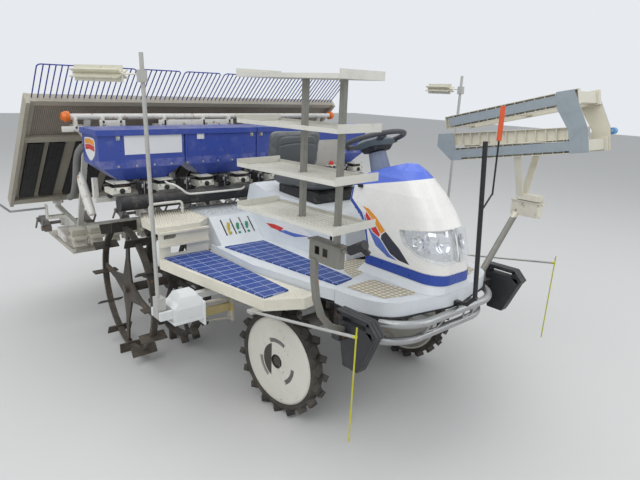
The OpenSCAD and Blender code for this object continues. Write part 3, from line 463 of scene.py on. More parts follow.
def mat(name, col, rough=0.45, metal=0.0, var=0.12, dust=0.25, mud=0.0, mud_top=0.5, rust=0.0, grain=0.15,
        spots=0.15, spot_col=None, round_r=0.002, alpha=None, paint=(), relief=None):
    """A worn finish: base tone with stains, painted areas, dust on top faces, mud low down, rust, fine bump.

    paint is a list of (mask from the graph, colour), and relief gives a height for the bump.
    """
    m, nt, bsdf = new_nodes(name)
    g = Graph(nt)
    big = g.noise(2.3, 5)
    mid = g.noise(19, 6, 0.65)
    fine = g.noise(190, 3)
    dark = tuple(c * (1 - var) for c in col)
    c = g.mix(g.ramp(big, 0.35, 0.65), dark, col)
    if spots:
        c = g.mix(g.ramp(mid, 0.56, 0.72, 0, spots), c, spot_col or tuple(v * 0.45 for v in col))
    for mask, tone in paint:
        c = g.mix(mask(g), c, g.mix(g.ramp(mid, 0.45, 0.7), tone, tuple(v * (1 - var) for v in tone)))
    nz = g.split(g.geo.outputs["Normal"])[2]
    if dust:
        up = g.ramp(nz, 0.3, 0.95)
        d = g.times(up, g.ramp(g.noise(7, 6, 0.7), 0.38, 0.68, 0, dust))
        c = g.mix(d, c, DUST)
    if rust:
        r = g.ramp(g.noise(26, 8, 0.75), 0.62 - rust * 0.3, 0.70 - rust * 0.2)
        c = g.mix(r, c, g.mix(g.ramp(fine, 0.4, 0.6), RUST, tuple(v * 1.7 for v in RUST)))
    if mud:
        z = g.split(g.coord)[2]
        low = g.ramp(z, mud_top, mud_top * 0.25)
        low = g.times(low, g.ramp(g.noise(9, 8, 0.7), 0.30, 0.62, 0, mud))
        c = g.mix(low, c, g.mix(g.ramp(mid, 0.4, 0.6), MUD, tuple(v * 1.5 for v in MUD)))
    g.link(c, bsdf.inputs["Base Color"])
    rr = g.plus(g.ramp(mid, 0.3, 0.7, -0.08, 0.10), rough)
    g.link(rr, bsdf.inputs["Roughness"])
    bsdf.inputs["Metallic"].default_value = metal
    normal = None
    if round_r:
        bev = nt.nodes.new("ShaderNodeBevel")
        bev.samples = 3
        bev.inputs["Radius"].default_value = round_r
        normal = bev.outputs[0]
    n = g.bump(g.plus(g.times(mid, 0.5), fine), grain, 0.0012, normal)
    if relief:
        n = g.bump(relief(g), 0.7, 0.003, n)
    g.link(n, bsdf.inputs["Normal"])
    if alpha is not None:
        bsdf.inputs["Alpha"].default_value = alpha
    return m


CREAM = (0.74, 0.71, 0.60)
GREY_WHITE = (0.72, 0.76, 0.79)
BLUE = (0.025, 0.075, 0.40)
BLACK = (0.016, 0.016, 0.018)
M = {}


def xf(x):
    """A place along the machine, in the part's metres, from millimetres ahead of the front axle."""
    return x / 1000 + FRONT_AXLE


def materials():
    def top_blue(g):
        band_z, slope = 1.325, 0.21
        return g.over(g.minus(g.axis(2), g.times(g.axis(0), slope)), band_z - slope * xf(83))

    def ridge_x(g):
        return g.lines(0, 0.065, 0.10)

    def ridge_y(g):
        return g.lines(1, 0.0225, 0.18)

    def worn(g):
        z = g.between(g.axis(2), 1.322, 1.372)
        return g.times(z, g.ramp(g.noise(14, 6, 0.7), 0.42, 0.62, 0, 0.75))

    def rack_post(g):
        dx = g.minus(g.axis(0), xf(RACK_POST[0]))
        dy = g.plus(g.axis(1), -RACK_POST[1] / 1000)
        c, k = math.cos(math.radians(RACK_TURN)), math.sin(math.radians(RACK_TURN))
        u = g.plus(g.times(dx, c), g.times(dy, k))
        v = g.minus(g.times(dy, c), g.times(dx, k))
        ends = g.plus(g.between(u, -0.0125, 0.0125), g.between(u, -0.2245, -0.1995))
        return g.times(ends, g.between(v, -0.0125, 0.0125))

    def table_axes(g):
        x = g.minus(g.axis(0), xf(TABLE_X))
        z = g.minus(g.axis(2), TABLE_Z / 1000)
        c, k = math.cos(TABLE_SLOPE), math.sin(TABLE_SLOPE)
        up = g.plus(g.times(x, c), g.times(z, k))
        out = g.minus(g.times(z, c), g.times(x, k))
        return up, out

    def table_panel(g):
        up, out = table_axes(g)
        face = g.times(g.between(out, -0.004, 0.004), g.between(up, 0.86, 1.24))
        return g.times(g.under(g.off_y(0), 1.33), face)

    def panel_ribs(g):
        return g.times(table_panel(g), g.lines(1, 0.0125, 0.35))

    def slat(g):
        return g.plus(g.stripes(table_axes(g)[0], 0.026, 0.25), g.lines(1, 0.0275, 0.3))

    def tiles(g):
        return g.math("MAXIMUM", g.lines(0, 0.030, 0.22), g.lines(1, 0.030, 0.22))

    def low_frame(g):
        return g.times(g.between(g.off_y(0), 0.5, 0.984), g.between(g.axis(0), xf(-180), xf(-95)))

    def beam(g):
        return g.times(low_frame(g), g.between(g.axis(2), 0.648, 0.696))

    def pole_tip(g):
        return g.times(g.over(g.axis(2), 1.6445), g.over(g.axis(1), 0.0345))

    def left_pillar_top(g):
        return g.times(g.over(g.axis(1), 0.7), g.over(g.axis(2), 1.125))

    def rack_rail(g):
        return g.times(g.over(g.off_y(0.822), 0.1425), g.over(g.axis(2), 1.38))

    def rack_end(g):
        return g.times(g.over(g.axis(1), 0.9755), g.over(g.axis(2), 1.6))

    def marker_cap(g):
        return g.times(g.over(g.axis(2), 1.80), g.under(g.axis(0), xf(-240)))

    def specks(g):
        return g.ramp(g.noise(70, 3, 0.6), 0.56, 0.60, 0, 0.9)

    M["white"] = mat("white_moulding", (0.76, 0.75, 0.70), 0.28, dust=0.18, spots=0.05)
    M["bonnet"] = mat("bonnet_moulding", (0.88, 0.87, 0.83), 0.26, dust=0.05, spots=0.03, var=0.04,
                      paint=[(top_blue, (0.10, 0.18, 0.72))], round_r=0.008)
    M["grey_white"] = mat("grey_white_moulding", GREY_WHITE, 0.4, dust=0.3, spots=0.12, spot_col=DUST)
    M["cream"] = mat("cream_moulding", CREAM, 0.5, dust=0.35, spots=0.2, spot_col=DUST)
    M["blue"] = mat("blue_moulding", BLUE, 0.3, dust=0.1, spots=0.05)
    M["mat"] = mat("blue_mat", (0.006, 0.040, 0.24), 0.5, dust=0.06,
                   paint=[(ridge_y, (0.020, 0.085, 0.34)), (ridge_x, (0.30, 0.38, 0.62)),
                          (lambda g: g.lines(1, 0.090, 0.05), (0.24, 0.32, 0.58))], relief=ridge_y)
    M["hopper"] = mat("hopper_blue", (0.040, 0.075, 0.35), 0.33, dust=0.3, spots=0.12, spot_col=DUST,
                      paint=[(worn, (0.18, 0.19, 0.40))])
    M["black"] = mat("black_plastic", BLACK, 0.55, dust=0.25, spots=0.2, spot_col=DUST)
    M["tube_black"] = mat("black_tube", BLACK, 0.3, dust=0.08, spots=0.03, spot_col=DUST,
                          paint=[(pole_tip, (0.72, 0.11, 0.03))])
    M["vinyl"] = mat("grey_vinyl", (0.105, 0.115, 0.12), 0.42, dust=0.2, round_r=0)
    M["frame"] = mat("frame_paint", (0.025, 0.025, 0.027), 0.5, dust=0.3, rust=0.25, mud=0.5, mud_top=0.8)
    M["case"] = mat("case_grey", (0.16, 0.16, 0.155), 0.5, dust=0.3, rust=0.2, mud=0.7, mud_top=0.8)
    M["galv"] = mat("galvanised", (0.50, 0.50, 0.47), 0.42, 0.75, dust=0.2, rust=0.15)
    M["pillar"] = mat("pillar_paint", (0.23, 0.23, 0.205), 0.5, 0.3, dust=0.15, rust=0.2,
                      paint=[(left_pillar_top, CREAM)])
    M["rod"] = mat("guide_rod", (0.55, 0.55, 0.52), 0.35, 0.6, dust=0.2, rust=0.1,
                   paint=[(lambda g: g.over(g.axis(0), xf(856)), (0.62, 0.60, 0.04))])
    M["rack"] = mat("rack_aluminium", (0.70, 0.69, 0.63), 0.45, 0.25, dust=0.3, spots=0.35, spot_col=DUST,
                    paint=[(rack_post, (0.27, 0.27, 0.24))])
    M["rack_left"] = mat("rack_cream", (0.70, 0.67, 0.56), 0.45, dust=0.2, spots=0.12,
                         paint=[(rack_rail, (0.30, 0.345, 0.375)), (rack_end, (0.12, 0.33, 0.62))])
    M["steel_white"] = mat("white_steel", (0.70, 0.69, 0.64), 0.42, dust=0.25, rust=0.2, spots=0.1)
    M["drive"] = mat("drive_white", (0.74, 0.76, 0.76), 0.35, dust=0.2, spots=0.05,
                     paint=[(low_frame, (0.34, 0.32, 0.27)), (beam, (0.36, 0.29, 0.13))])
    M["meter"] = mat("meter_units", (0.68, 0.67, 0.58), 0.45, dust=0.3, rust=0.08, spots=0.3,
                     paint=[(lambda g: g.between(g.axis(2), 1.2085, 1.2315), BLACK),
                            (lambda g: g.under(g.axis(2), 1.1615), BLACK)])
    M["silver"] = mat("silver_paint", (0.42, 0.43, 0.43), 0.35, 0.7, dust=0.1, rust=0.12)
    M["tyre"] = mat("tyre_rubber", (0.020, 0.020, 0.020), 0.75, dust=0.15, mud=0.35, mud_top=0.9, grain=0.4)
    M["disc"] = mat("wheel_disc", (0.72, 0.70, 0.63), 0.4, dust=0.1, mud=0.10, mud_top=0.4, rust=0.03,
                    paint=[(lambda g: g.under(hub_distance(g), 0.043), (0.05, 0.042, 0.033)),
                           (pin_end, (0.05, 0.042, 0.033))])
    M["paddle"] = mat("paddle_steel", (0.030, 0.028, 0.026), 0.6, 0.2, rust=0.12, mud=0.5, mud_top=1.0,
                      grain=0.4)
    M["rotor"] = mat("rotor_plastic", (0.66, 0.63, 0.54), 0.5, dust=0.3, spots=0.5,
                     spot_col=(0.22, 0.2, 0.16))
    M["marker"] = mat("marker_paint", (0.50, 0.50, 0.47), 0.42, 0.3, dust=0.2, rust=0.05,
                      paint=[(marker_cap, (0.72, 0.70, 0.58))])
    M["lens"] = mat("lamp_clear", (0.80, 0.84, 0.88), 0.06, 0.0, dust=0, spots=0, var=0, grain=0.02,
                    round_r=0, alpha=0.22)
    M["chrome"] = mat("lamp_reflector", (0.74, 0.76, 0.78), 0.16, 0.9, dust=0, spots=0.1, grain=0.03,
                      round_r=0, relief=lambda g: g.cells(42))
    M["bowl"] = mat("lamp_bowl", (0.80, 0.82, 0.84), 0.10, 0.95, dust=0, spots=0, grain=0.02, round_r=0)
    M["shroud"] = mat("slate_cover", (0.105, 0.135, 0.155), 0.45, dust=0.15)
    M["amber"] = mat("amber_lens", (0.75, 0.16, 0.01), 0.25, dust=0.2)
    M["column"] = mat("lavender_cover", (0.20, 0.24, 0.33), 0.45, dust=0.15)
    M["wheel_grip"] = mat("grip_grey", (0.06, 0.062, 0.068), 0.5, dust=0.1)
    M["float"] = mat("float_plastic", (0.55, 0.53, 0.45), 0.6, mud=0.6, mud_top=0.9, dust=0.3)
    M["table"] = mat("table_back", (0.40, 0.37, 0.30), 0.55, dust=0.2, spots=0.35,
                     paint=[(table_panel, (0.30, 0.26, 0.215)), (panel_ribs, (0.17, 0.14, 0.115))],
                     relief=panel_ribs)
    M["belt"] = mat("belt_black", (0.013, 0.013, 0.014), 0.6, dust=0.2, relief=slat,
                    paint=[(lambda g: g.lines(1, 0.0275, 0.3), (0.004, 0.004, 0.004))])
    M["bail"] = mat("bail_blue", (0.030, 0.050, 0.32), 0.4, dust=0.0)
    M["yellow"] = mat("yellow_plastic", (0.62, 0.48, 0.05), 0.4)
    M["green"] = mat("green_plastic", (0.03, 0.30, 0.14), 0.4)
    M["red"] = mat("red_plastic", (0.62, 0.03, 0.02), 0.35)
    M["paper"] = mat("label", (0.72, 0.73, 0.74), 0.5, var=0.05, dust=0, spots=0.12,
                     spot_col=(0.4, 0.42, 0.5), round_r=0)
    M["patch"] = mat("tread_patch", (0.66, 0.63, 0.50), 0.6, dust=0.3, spots=0.4, spot_col=DUST,
                     round_r=0, grain=0.5, paint=[(tiles, (0.27, 0.21, 0.14))])
    M["speckle"] = mat("speckled_panel", (0.70, 0.74, 0.77), 0.5, dust=0.2, round_r=0,
                       paint=[(specks, (0.09, 0.09, 0.09))])
    M["cover_grey"] = mat("cover_grey", (0.40, 0.385, 0.35), 0.5, dust=0.1, spots=0.3)
    M["gap"] = mat("dark_seam", (0.02, 0.02, 0.022), 0.8, dust=0, spots=0, round_r=0)
    M["weight"] = mat("cast_black", (0.022, 0.024, 0.028), 0.45, dust=0.06, spots=0.05)
    M["hose"] = mat("ribbed_hose", (0.20, 0.20, 0.19), 0.6, dust=0.3,
                    relief=lambda g: g.lines(2, 0.010, 0.5))


def hub_distance(g):
    """Distance from the nearer front wheel's axis, for the dark hub inside the discs."""
    x = g.minus(g.axis(0), FRONT_AXLE)
    # the axes lean by the parked steering angle, so the hub middle sits a little off the axle line
    turn = math.tan(math.radians(PARKED_STEER))
    x = g.plus(x, g.times(g.minus(g.off_y(0), KNUCKLE_Y), g.times(g.math("SIGN", g.axis(1)), turn)))
    z = g.minus(g.axis(2), FRONT_WHEEL_R)
    return g.math("SQRT", g.plus(g.times(x, x), g.times(z, z)))


def pin_end(g):
    return g.times(g.over(g.off_y(0), 0.6135), g.under(hub_distance(g), 0.11))


NODE_MATERIALS = {
    "frame": "chassis_frame engine_block lower_link upper_link",
    "case": "transmission front_axle rear_axle knuckle_r knuckle_l planting_rotors",
    "grey_white": "main_floor front_floor engine_cover cowl_base",
    "cream": "step_decks rear_decks",
    "mat": "floor_mats",
    "black": "seat_base side_boxes levers air_duct",
    "vinyl": "seat",
    "bonnet": "bonnet",
    "blue": "bonnet_band",
    "lens": "headlamps",
    "column": "steering_column",
    "silver": "front_bumper side_guards",
    "tube_black": "mascot_pole",
    "rod": "side_marker_rods",
    "pillar": "rack_pillars",
    "drive": "marker_drives",
    "steel_white": "handrails hopper_frame planting_frame planting_cases",
    "meter": "metering_units",
    "hopper": "hoppers hopper_lid_r hopper_lid_l",
    "tyre": "front_tyre_r front_tyre_l rear_wheel_r rear_wheel_l",
    "disc": "front_disc_r front_disc_l",
    "paddle": "aux_wheel_r aux_wheel_l",
    "wheel_grip": "steering_wheel",
    "rack": "seedling_rack_r",
    "rack_left": "seedling_rack_l",
    "float": "floats",
    "amber": "side_lamps",
    "table": "seedling_table",
    "belt": "feed_belts",
    "bail": "table_guards",
    "rotor": "levelling_rotor",
    "marker": "marker_arm_r marker_arm_l",
}


def dress_nodes():
    for key, names in NODE_MATERIALS.items():
        for n in names.split():
            slots = NODES[n].data.materials
            slots.clear()
            slots.append(M[key])


def floor():
    bpy.ops.mesh.primitive_plane_add(size=60, location=(0, 0, 0))
    o = bpy.context.object
    o.name = "floor"
    m, nt, bsdf = new_nodes("floor")
    bsdf.inputs["Base Color"].default_value = (0.62, 0.62, 0.61, 1)
    bsdf.inputs["Roughness"].default_value = 0.85
    o.data.materials.append(m)


# ---------- bonnet ----------
def bonnet_dressing():
    bands = {
        "orange": ([(181, 1223), (231, 1216), (300, 1178), (372, 1120), (343, 1098), (281, 1155),
                    (218, 1200)], (0.85, 0.33, 0.02)),
        "red": ([(214, 1196), (279, 1150), (337, 1094), (332, 1077), (281, 1097), (213, 1172)],
                (0.62, 0.03, 0.02)),
        "dark": ([(376, 1117), (428, 1083), (481, 1050), (562, 979), (488, 984), (424, 1006), (347, 1071),
                  (348, 1093)], (0.035, 0.035, 0.05)),
        "blue": ([(190, 1196), (209, 1170), (276, 1094), (330, 1073), (341, 1068), (418, 1002), (480, 978),
                  (406, 983), (314, 1025), (273, 1074), (218, 1142)], (0.10, 0.17, 0.52)),
    }
    for nm, (outline, col) in bands.items():
        M["stripe_" + nm] = mat("stripe_" + nm, col, 0.3, dust=0.0, var=0.1, spots=0.03, round_r=0)
        for s, d, start in FLANKS:
            decal("stripe_%s_%s" % (nm, s), outline, ["bonnet"], d, start, "stripe_" + nm)
    rear = [(60, 1334), (60, 1236), (160, 1170), (203, 1115), (233, 1011), (243, 959.5), (268, 959.5),
            (259, 1015), (228, 1125), (183, 1188), (90, 1254), (96, 1334)]
    for s, d, start in FLANKS:
        decal("bonnet_edge_" + s, rear, ["bonnet"], d, start, "blue", lift=0.0009)


# ---------- floor treads ----------
def teeth(name, node, outline, z, pitch, size, material):
    """Staggered rows of small pointed teeth on a flat face; size is half length, half width, height."""
    verts, faces = [], []
    a, b, c = size
    foot = z - 0.2
    x0, x1 = min(p[0] for p in outline), max(p[0] for p in outline)
    y0, y1 = min(p[1] for p in outline), max(p[1] for p in outline)
    row = 0
    x = x0 + pitch[0] / 2
    while x < x1:
        y = y0 + pitch[1] * (0.5 if row % 2 else 1.0)
        while y < y1:
            if in_polygon(x, y, outline):
                h = tree(node).ray_cast(P(x, y, z + 60), Vector((0, 0, -1)))
                if h[0] is not None and abs(h[0].z * 1000 - z) < 1.5:
                    k = len(verts)
                    verts += [P(x - a, y - b, foot), P(x + a, y - b, foot), P(x + a, y + b, foot),
                              P(x - a, y + b, foot), P(x, y - b * 0.5, z + c), P(x, y + b * 0.5, z + c)]
                    faces += [(k, k + 1, k + 4), (k + 1, k + 2, k + 5, k + 4), (k + 2, k + 3, k + 5),
                              (k + 3, k, k + 4, k + 5)]
            y += pitch[1]
        x += pitch[0]
        row += 1
    return make(name, verts, faces, material, "chassis")


def treads():
    deck = [(-1112, -898), (-935, -968), (-702, -968), (-702, -702), (-795, -600), (-1112, -600)]
    step = [(185, -800), (285, -648), (270, -575), (190, -590)]
    for (s, rear), (_, fore) in zip(sides(deck), sides(step)):
        teeth("rear_deck_teeth_" + s, "rear_decks", rear, REAR_DECK_Z, (21, 16), (6, 5.5, 6), "cream")
        teeth("front_deck_teeth_" + s, "step_decks", fore, STEP_DECK_Z, (17, 15), (5, 5, 4), "cream")
    patch = [(353, -446), (333, -242), (642, -186), (663, -221), (607, -391)]
    for s, outline in sides(patch):
        decal("floor_patch_" + s, outline, ["front_floor"], "z-", FLOOR_TOP, "patch", step=30, lift=0.0015)


def levers_dressing():
    for i, (y, z, colour) in enumerate(((-488, 925, "yellow"), (-417, 915, "green"), (-346, 915, "green"))):
        lever = [((-712, -6, z), (-690, 6, z + 60)), ((-700, -9, z - 14), (-668, 9, z + 6))]
        boxes("slot_lever_%d" % i, moved(lever, y), colour, "chassis", bevel=3)


def bolts(name, places, r, h, body="chassis"):
    """Hexagon heads with a washer; places are (point mm, outward axis)."""
    lathe(name + "_washers", places, [(r * 1.5, -0.5), (r * 1.5, 1.2), (0.2, 1.2)], "galv", body, seg=16)
    lathe(name, places, [(r, 0), (r, h * 0.85), (r * 0.86, h), (0.2, h)], "galv", body, seg=6)


# ---------- seat ----------
SWELL = 0.009              # metres that the cloth may move
SEAM_DEPTH = 0.0045
SEAT_FOOT = 1.2405         # the cushion stands on the seat's base here


def pad_form(middle, half, lean, edge, power=7.0, n=26):
    """A crowned cushion: half sizes along, across and through it, leaned about the cross axis."""
    turn = Matrix.Rotation(math.radians(lean), 3, "Y")
    bm = bmesh.new()
    bmesh.ops.create_cube(bm, size=2)
    bmesh.ops.subdivide_edges(bm, edges=bm.edges[:], cuts=n, use_grid_fill=True)
    for v in bm.verts:
        x, y, z = v.co
        k = (abs(x) ** power + abs(y) ** power) ** (1 / power)
        m = max(abs(x), abs(y))
        s = m / k if k > 1e-6 else 1
        x, y = x * s, y * s
        z *= 1 - edge * m ** 6
        v.co = turn @ Vector((x * half[0], y * half[1], z * half[2])) / 1000 + P(*middle)
    me = bpy.data.meshes.new("pad")
    bm.to_mesh(me)
    bm.free()
    return me


def evaluated(o):
    dg = bpy.context.evaluated_depsgraph_get()
    me = bpy.data.meshes.new_from_object(o.evaluated_get(dg), depsgraph=dg)
    o.modifiers.clear()
    o.data = me
    return me


def padded_piece(name, middle, half, lean, edge, seams):
    """A pad puffed by cloth pressure, with seams drawn in; seams(u, v, w) is 0 away from a seam, 1 on it."""
    o = bpy.data.objects.new(name, pad_form(middle, [h * 0.97 for h in half], lean, edge))
    scene.collection.objects.link(o)
    r = o.modifiers.new("remesh", "REMESH")
    r.mode = "VOXEL"
    r.voxel_size = 0.008
    evaluated(o)
    start = [v.co.copy() for v in o.data.vertices]
    c = o.modifiers.new("cloth", "CLOTH")
    c.settings.use_pressure = True
    c.settings.uniform_pressure_force = 4
    c.settings.effector_weights.gravity = 0
    c.settings.quality = 4
    for f in range(1, 13):
        scene.frame_set(f)
        bpy.context.evaluated_depsgraph_get().update()
    evaluated(o)
    scene.frame_set(1)
    for v, p in zip(o.data.vertices, start):
        d = v.co - p
        if d.length > SWELL:
            v.co = p + d.normalized() * SWELL
    sub = o.modifiers.new("smooth", "SUBSURF")
    sub.levels = 1
    sub.render_levels = 1
    evaluated(o)
    back = Matrix.Rotation(math.radians(-lean), 3, "Y")
    centre = P(*middle)
    me = o.data
    moves = []
    for v in me.vertices:
        q = back @ (v.co - centre) * 1000
        moves.append(v.co - v.normal * SEAM_DEPTH * seams(q.x, q.y, q.z))
    for v, p in zip(me.vertices, moves):
        v.co = p
        v.co.z = max(v.co.z, SEAT_FOOT)
    shade(me, 0)
    me.materials.clear()
    me.materials.append(M["vinyl"])
    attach(o, "chassis")
    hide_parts("seat")
    return o


def near(d, width=5.0):
    """1 on a seam, falling to 0 within a few millimetres."""
    return math.exp(-(d / width) ** 2)


def rim_distance(u, v, half, power=7.0):
    """How far a point of the pad lies inside its rim, in millimetres."""
    k = ((abs(u) / half[0]) ** power + (abs(v) / half[1]) ** power) ** (1 / power)
    return (1 - k) * min(half[0], half[1])


def seat():
    back_half = (136, 221, 34)
    sit_half = (247, 221, 43)

    def back_seams(u, v, w):
        rim = near(rim_distance(u, v, back_half) - 36)
        inside = rim_distance(u, v, back_half) > 36
        arc = near(-u - 52 + 14 * (v / 150) ** 2) if inside and w > 0 else 0
        return max(rim, arc)

    def sit_seams(u, v, w):
        if w < 0:
            return near(w + 12, 4)
        rim = near(rim_distance(u, v, sit_half) - 34)
        inside = rim_distance(u, v, sit_half) > 30
        sides = near(abs(v) - 138) if inside else 0
        cross = near(u + 40) if inside and abs(v) < 138 else 0
        return max(rim, sides, cross)

    padded_piece("seat_cushion", (-394, 0, 1286), sit_half, -2.0, 0.55, sit_seams)
    padded_piece("seat_back", (-641, 0, 1447), back_half, 97.0, 0.5, back_seams)


# ---------- fertilizer unit ----------
def meter_dressing():
    black, steel, knobs, screws = [], [], [], []
    pitch = 297
    block = [((-1112, -40, 1176), (-1066, 40, 1236)), ((-1106, -28, 1140), (-1070, 28, 1178)),
             ((-1066, -30, 1190), (-1046, -8, 1232)), ((-1066, 6, 1168), (-1050, 30, 1216))]
    lever = [((-1065, -4, 1150), (-1058, 2, 1236)), ((-1046, -24, 1200), (-1042, -14, 1224))]
    for i in range(-4, 4):
        y = (i + 0.5) * pitch
        knobs.append(((-1052, y, 1188), (1, 0, 0)))
        screws += [((-1060, y + d, 1240), (0, 0, 1)) for d in (-44, 44)]
        screws += [((-1052, y + d, 1202), (1, 0, 0)) for d in (-44, 44)]
    for i in range(-3, 4):
        y = i * pitch
        black += moved(block, y)
        steel += moved(lever, y)
        screws += [((-1066, y + 18, 1226), (1, 0, 0)), ((-1050, y + 18, 1196), (1, 0, 0))]
    boxes("feed_blocks", black, "black", "chassis", bevel=3)
    boxes("feed_levers", steel, "galv", "chassis", bevel=1)
    knob = [(17, 0), (17, 7), (13, 10), (6, 10), (6, 16), (0.3, 16)]
    lathe("feed_knobs", knobs, knob, "black", "chassis", 20)
    bolts("feed_screws", screws, 5, 4)
    for s, side in ((-1, "r"), (1, "l")):
        rail = [(-1085, 745, 1236), (-1052, 738, 1215), (-1005, 706, 1203), (-984, 672, 1178),
                (-978, 630, 1146), (-975, 560, 1140), (-975, 250, 1138), (-990, 190, 1140),
                (-1060, 120, 1150)]
        tube("drain_rail_" + side, [(x, s * y, z) for x, y, z in rail], 7, "white", "chassis", n=6, seg=12)


def hopper_dressing():
    face = HOPPER_FACE
    boxes("hopper_label", [((face, -990, 1406), (face + 1.2, -600, 1526))], "paper", "chassis")
    shield = [(-1340, 1500), (-1250, 1508), (-1160, 1500), (-1152, 1440), (-1180, 1395), (-1250, 1362),
              (-1320, 1395), (-1348, 1440)]
    end = -1300
    decal("shield_base", smooth_line(shield + shield[:1], 4)[:-1], ["hoppers"], "y+", end, "paper")
    top = [(-1330, 1493), (-1250, 1500), (-1170, 1493), (-1164, 1462), (-1250, 1470), (-1336, 1462)]
    mid = [(-1336, 1458), (-1250, 1466), (-1164, 1458), (-1166, 1425), (-1250, 1434), (-1334, 1425)]
    decal("shield_orange", top, ["hoppers"], "y+", end, "stripe_orange", lift=0.0014)
    decal("shield_red", mid, ["hoppers"], "y+", end, "stripe_red", lift=0.0014)
    plate = [((face - 1, -13, 1497), (face + 2.5, 13, 1531))]
    hook = [((face + 2, -8, 1512), (face + 9, -4, 1549)), ((face + 2, 4, 1512), (face + 9, 8, 1549)),
            ((face + 2, -10, 1544), (face + 11, 10, 1552)), ((face + 2, -7, 1500), (face + 12, 7, 1520))]
    rib = [((face - 1, -3, 1348), (face + 4, 3, 1520))]
    plates, hooks, ribs, screws = [], [], [], []
    for s in (-1, 1):
        for y in (1028, 42):
            plates += moved(plate, s * y)
            hooks += moved(hook, s * y)
        for y in (555, 263):
            ribs += moved(rib, s * y)
        screws += [((face, s * y, 1334), (1, 0, 0)) for y in range(90, 1080, 118)]
    boxes("latch_plates", plates, "galv", "chassis", bevel=1)
    boxes("latch_hooks", hooks, "galv", "chassis", bevel=1.5)
    boxes("hopper_ribs", ribs, "hopper", "chassis", bevel=1.5)
    bolts("hopper_screws", screws, 5, 4)
    tag = [((face - 0.5, -487, 1490), (face + 4, -433, 1541)),
           ((face - 6, -487, 1536), (face + 4, -433, 1543))]
    boxes("hopper_tag", tag, "paper", "chassis", bevel=1)
    holes = [((face + 3.5, y, 1526), (face + 4.8, y + 10, 1534)) for y in (-478, -452)]
    boxes("tag_holes", holes, "gap", "chassis")
    boxes("hopper_cover", [((face, 505, 1204), (face + 9, 860, 1448))], "cover_grey", "chassis", bevel=3)
    knob = [(20, 0), (20, 12), (14, 18), (0.3, 18)]
    lathe("cover_knob", [((face + 9, 751, 1252), (1, 0, 0))], knob, "red", "chassis", 20)
    places = ((557, 1394), (676, 1389), (540, 1240), (830, 1420))
    bolts("cover_screws", [((face + 9, y, z), (1, 0, 0)) for y, z in places], 5, 4)


# ---------- planting section ----------
def section_dressing():
    plates = [((-1566, -550, 1529), (-1556, 84, 1590)), ((-1566, -976, 1537), (-1556, -800, 1589)),
              ((-1566, -1223, 1515), (-1556, -1087, 1552))]
    lugs = [((-1612, y - 9, 1534), (-1556, y + 9, 1612)) for y in (-500, -180, 50, -950, -830, -1130)]
    boxes("lamp_brackets", plates + lugs, "steel_white", "section", bevel=2)
    heads = [((-1556, y, 1560), (1, 0, 0)) for y in (-520, -350, -160, 40, -950, -830)]
    bolts("lamp_bracket_bolts", heads, 7, 6, body="section")
    boxes("section_arm", [((-1520, -1166, 1230), (-1476, -1138, 1258))], "steel_white", "section", bevel=4)
    arm = [(-1503, -1152, 1247), (-1478, -1153, 1205), (-1440, -1153, 1150), (-1400, -1152, 1090),
           (-1340, -1150, 1015), (-1326, -1150, 992)]
    tube("section_lever", arm, 21, "steel_white", "section", n=6, seg=14,
         profile=lambda i: 1.0 + 0.45 * math.sin(min(i, 30) / 30 * math.pi))
    bolts("section_lever_bolts", [((-1495, -1174, 1236), (0, -1, 0)), ((-1400, -1178, 1092), (0, -1, 0)),
                                  ((-1345, -1172, 1020), (0, -1, 0))], 9, 7, body="section")
    hose = [(-1390, -1150, 1438), (-1440, -1166, 1395), (-1478, -1172, 1330), (-1502, -1176, 1240),
            (-1560, -1172, 1150), (-1660, -1160, 1075), (-1793, -1150, 1030)]
    tube("drain_hose", hose, 22, "hose", "section", n=10, seg=16,
         profile=lambda i: 1.0 + (0.07 if i % 2 else -0.05))


# ---------- rounded and ribbed pieces ----------
def prisms(name, parts, material, body, bevel):
    """Upright plates as one piece; each part is (outline in x and z, y, y), in millimetres."""
    verts, faces = [], []
    for outline, y0, y1 in parts:
        k, n = len(verts), len(outline)
        verts += [P(x, y0, z) for x, z in outline] + [P(x, y1, z) for x, z in outline]
        faces += [tuple(range(k, k + n)), tuple(range(k + n, k + 2 * n))[::-1]]
        faces += [(k + (i + 1) % n, k + i, k + n + i, k + n + (i + 1) % n) for i in range(n)]
    return soften(make(name, verts, faces, material, body), bevel, 35, recalc=True)


def front_weights():
    """Suitcase weights at the front corners, with a hand slot under the top bar."""
    body = [(556, 806), (602, 577), (702, 577), (716, 604), (790, 774), (776, 806)]
    bar = [(541, 851), (547, 830), (770, 830), (752, 853)]
    front = [(752, 853), (808, 797), (788, 768), (738, 800), (738, 836)]
    rear = [(541, 851), (557, 798), (588, 798), (588, 836)]
    parts = []
    for s in (-1, 1):
        for y0, y1 in ((590, 608), (609, 630), (631, 650)):
            parts += [(o, s * y0, s * y1) for o in (body, bar, front, rear)]
    o = prisms("front_weights", parts, "weight", "chassis", bevel=3)
    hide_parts("side_boxes")


def handrail(side):
    """The line of a rail: its two feet on the deck and the round corners between them."""
    line = [(905, 1), (905, 50), (903, 70), (893, 82), (872, 86), (713, 86), (692, 82), (682, 70), (680, 50),
            (680, 1)]
    return [(-965, side * y, REAR_DECK_Z + z) for y, z in line]


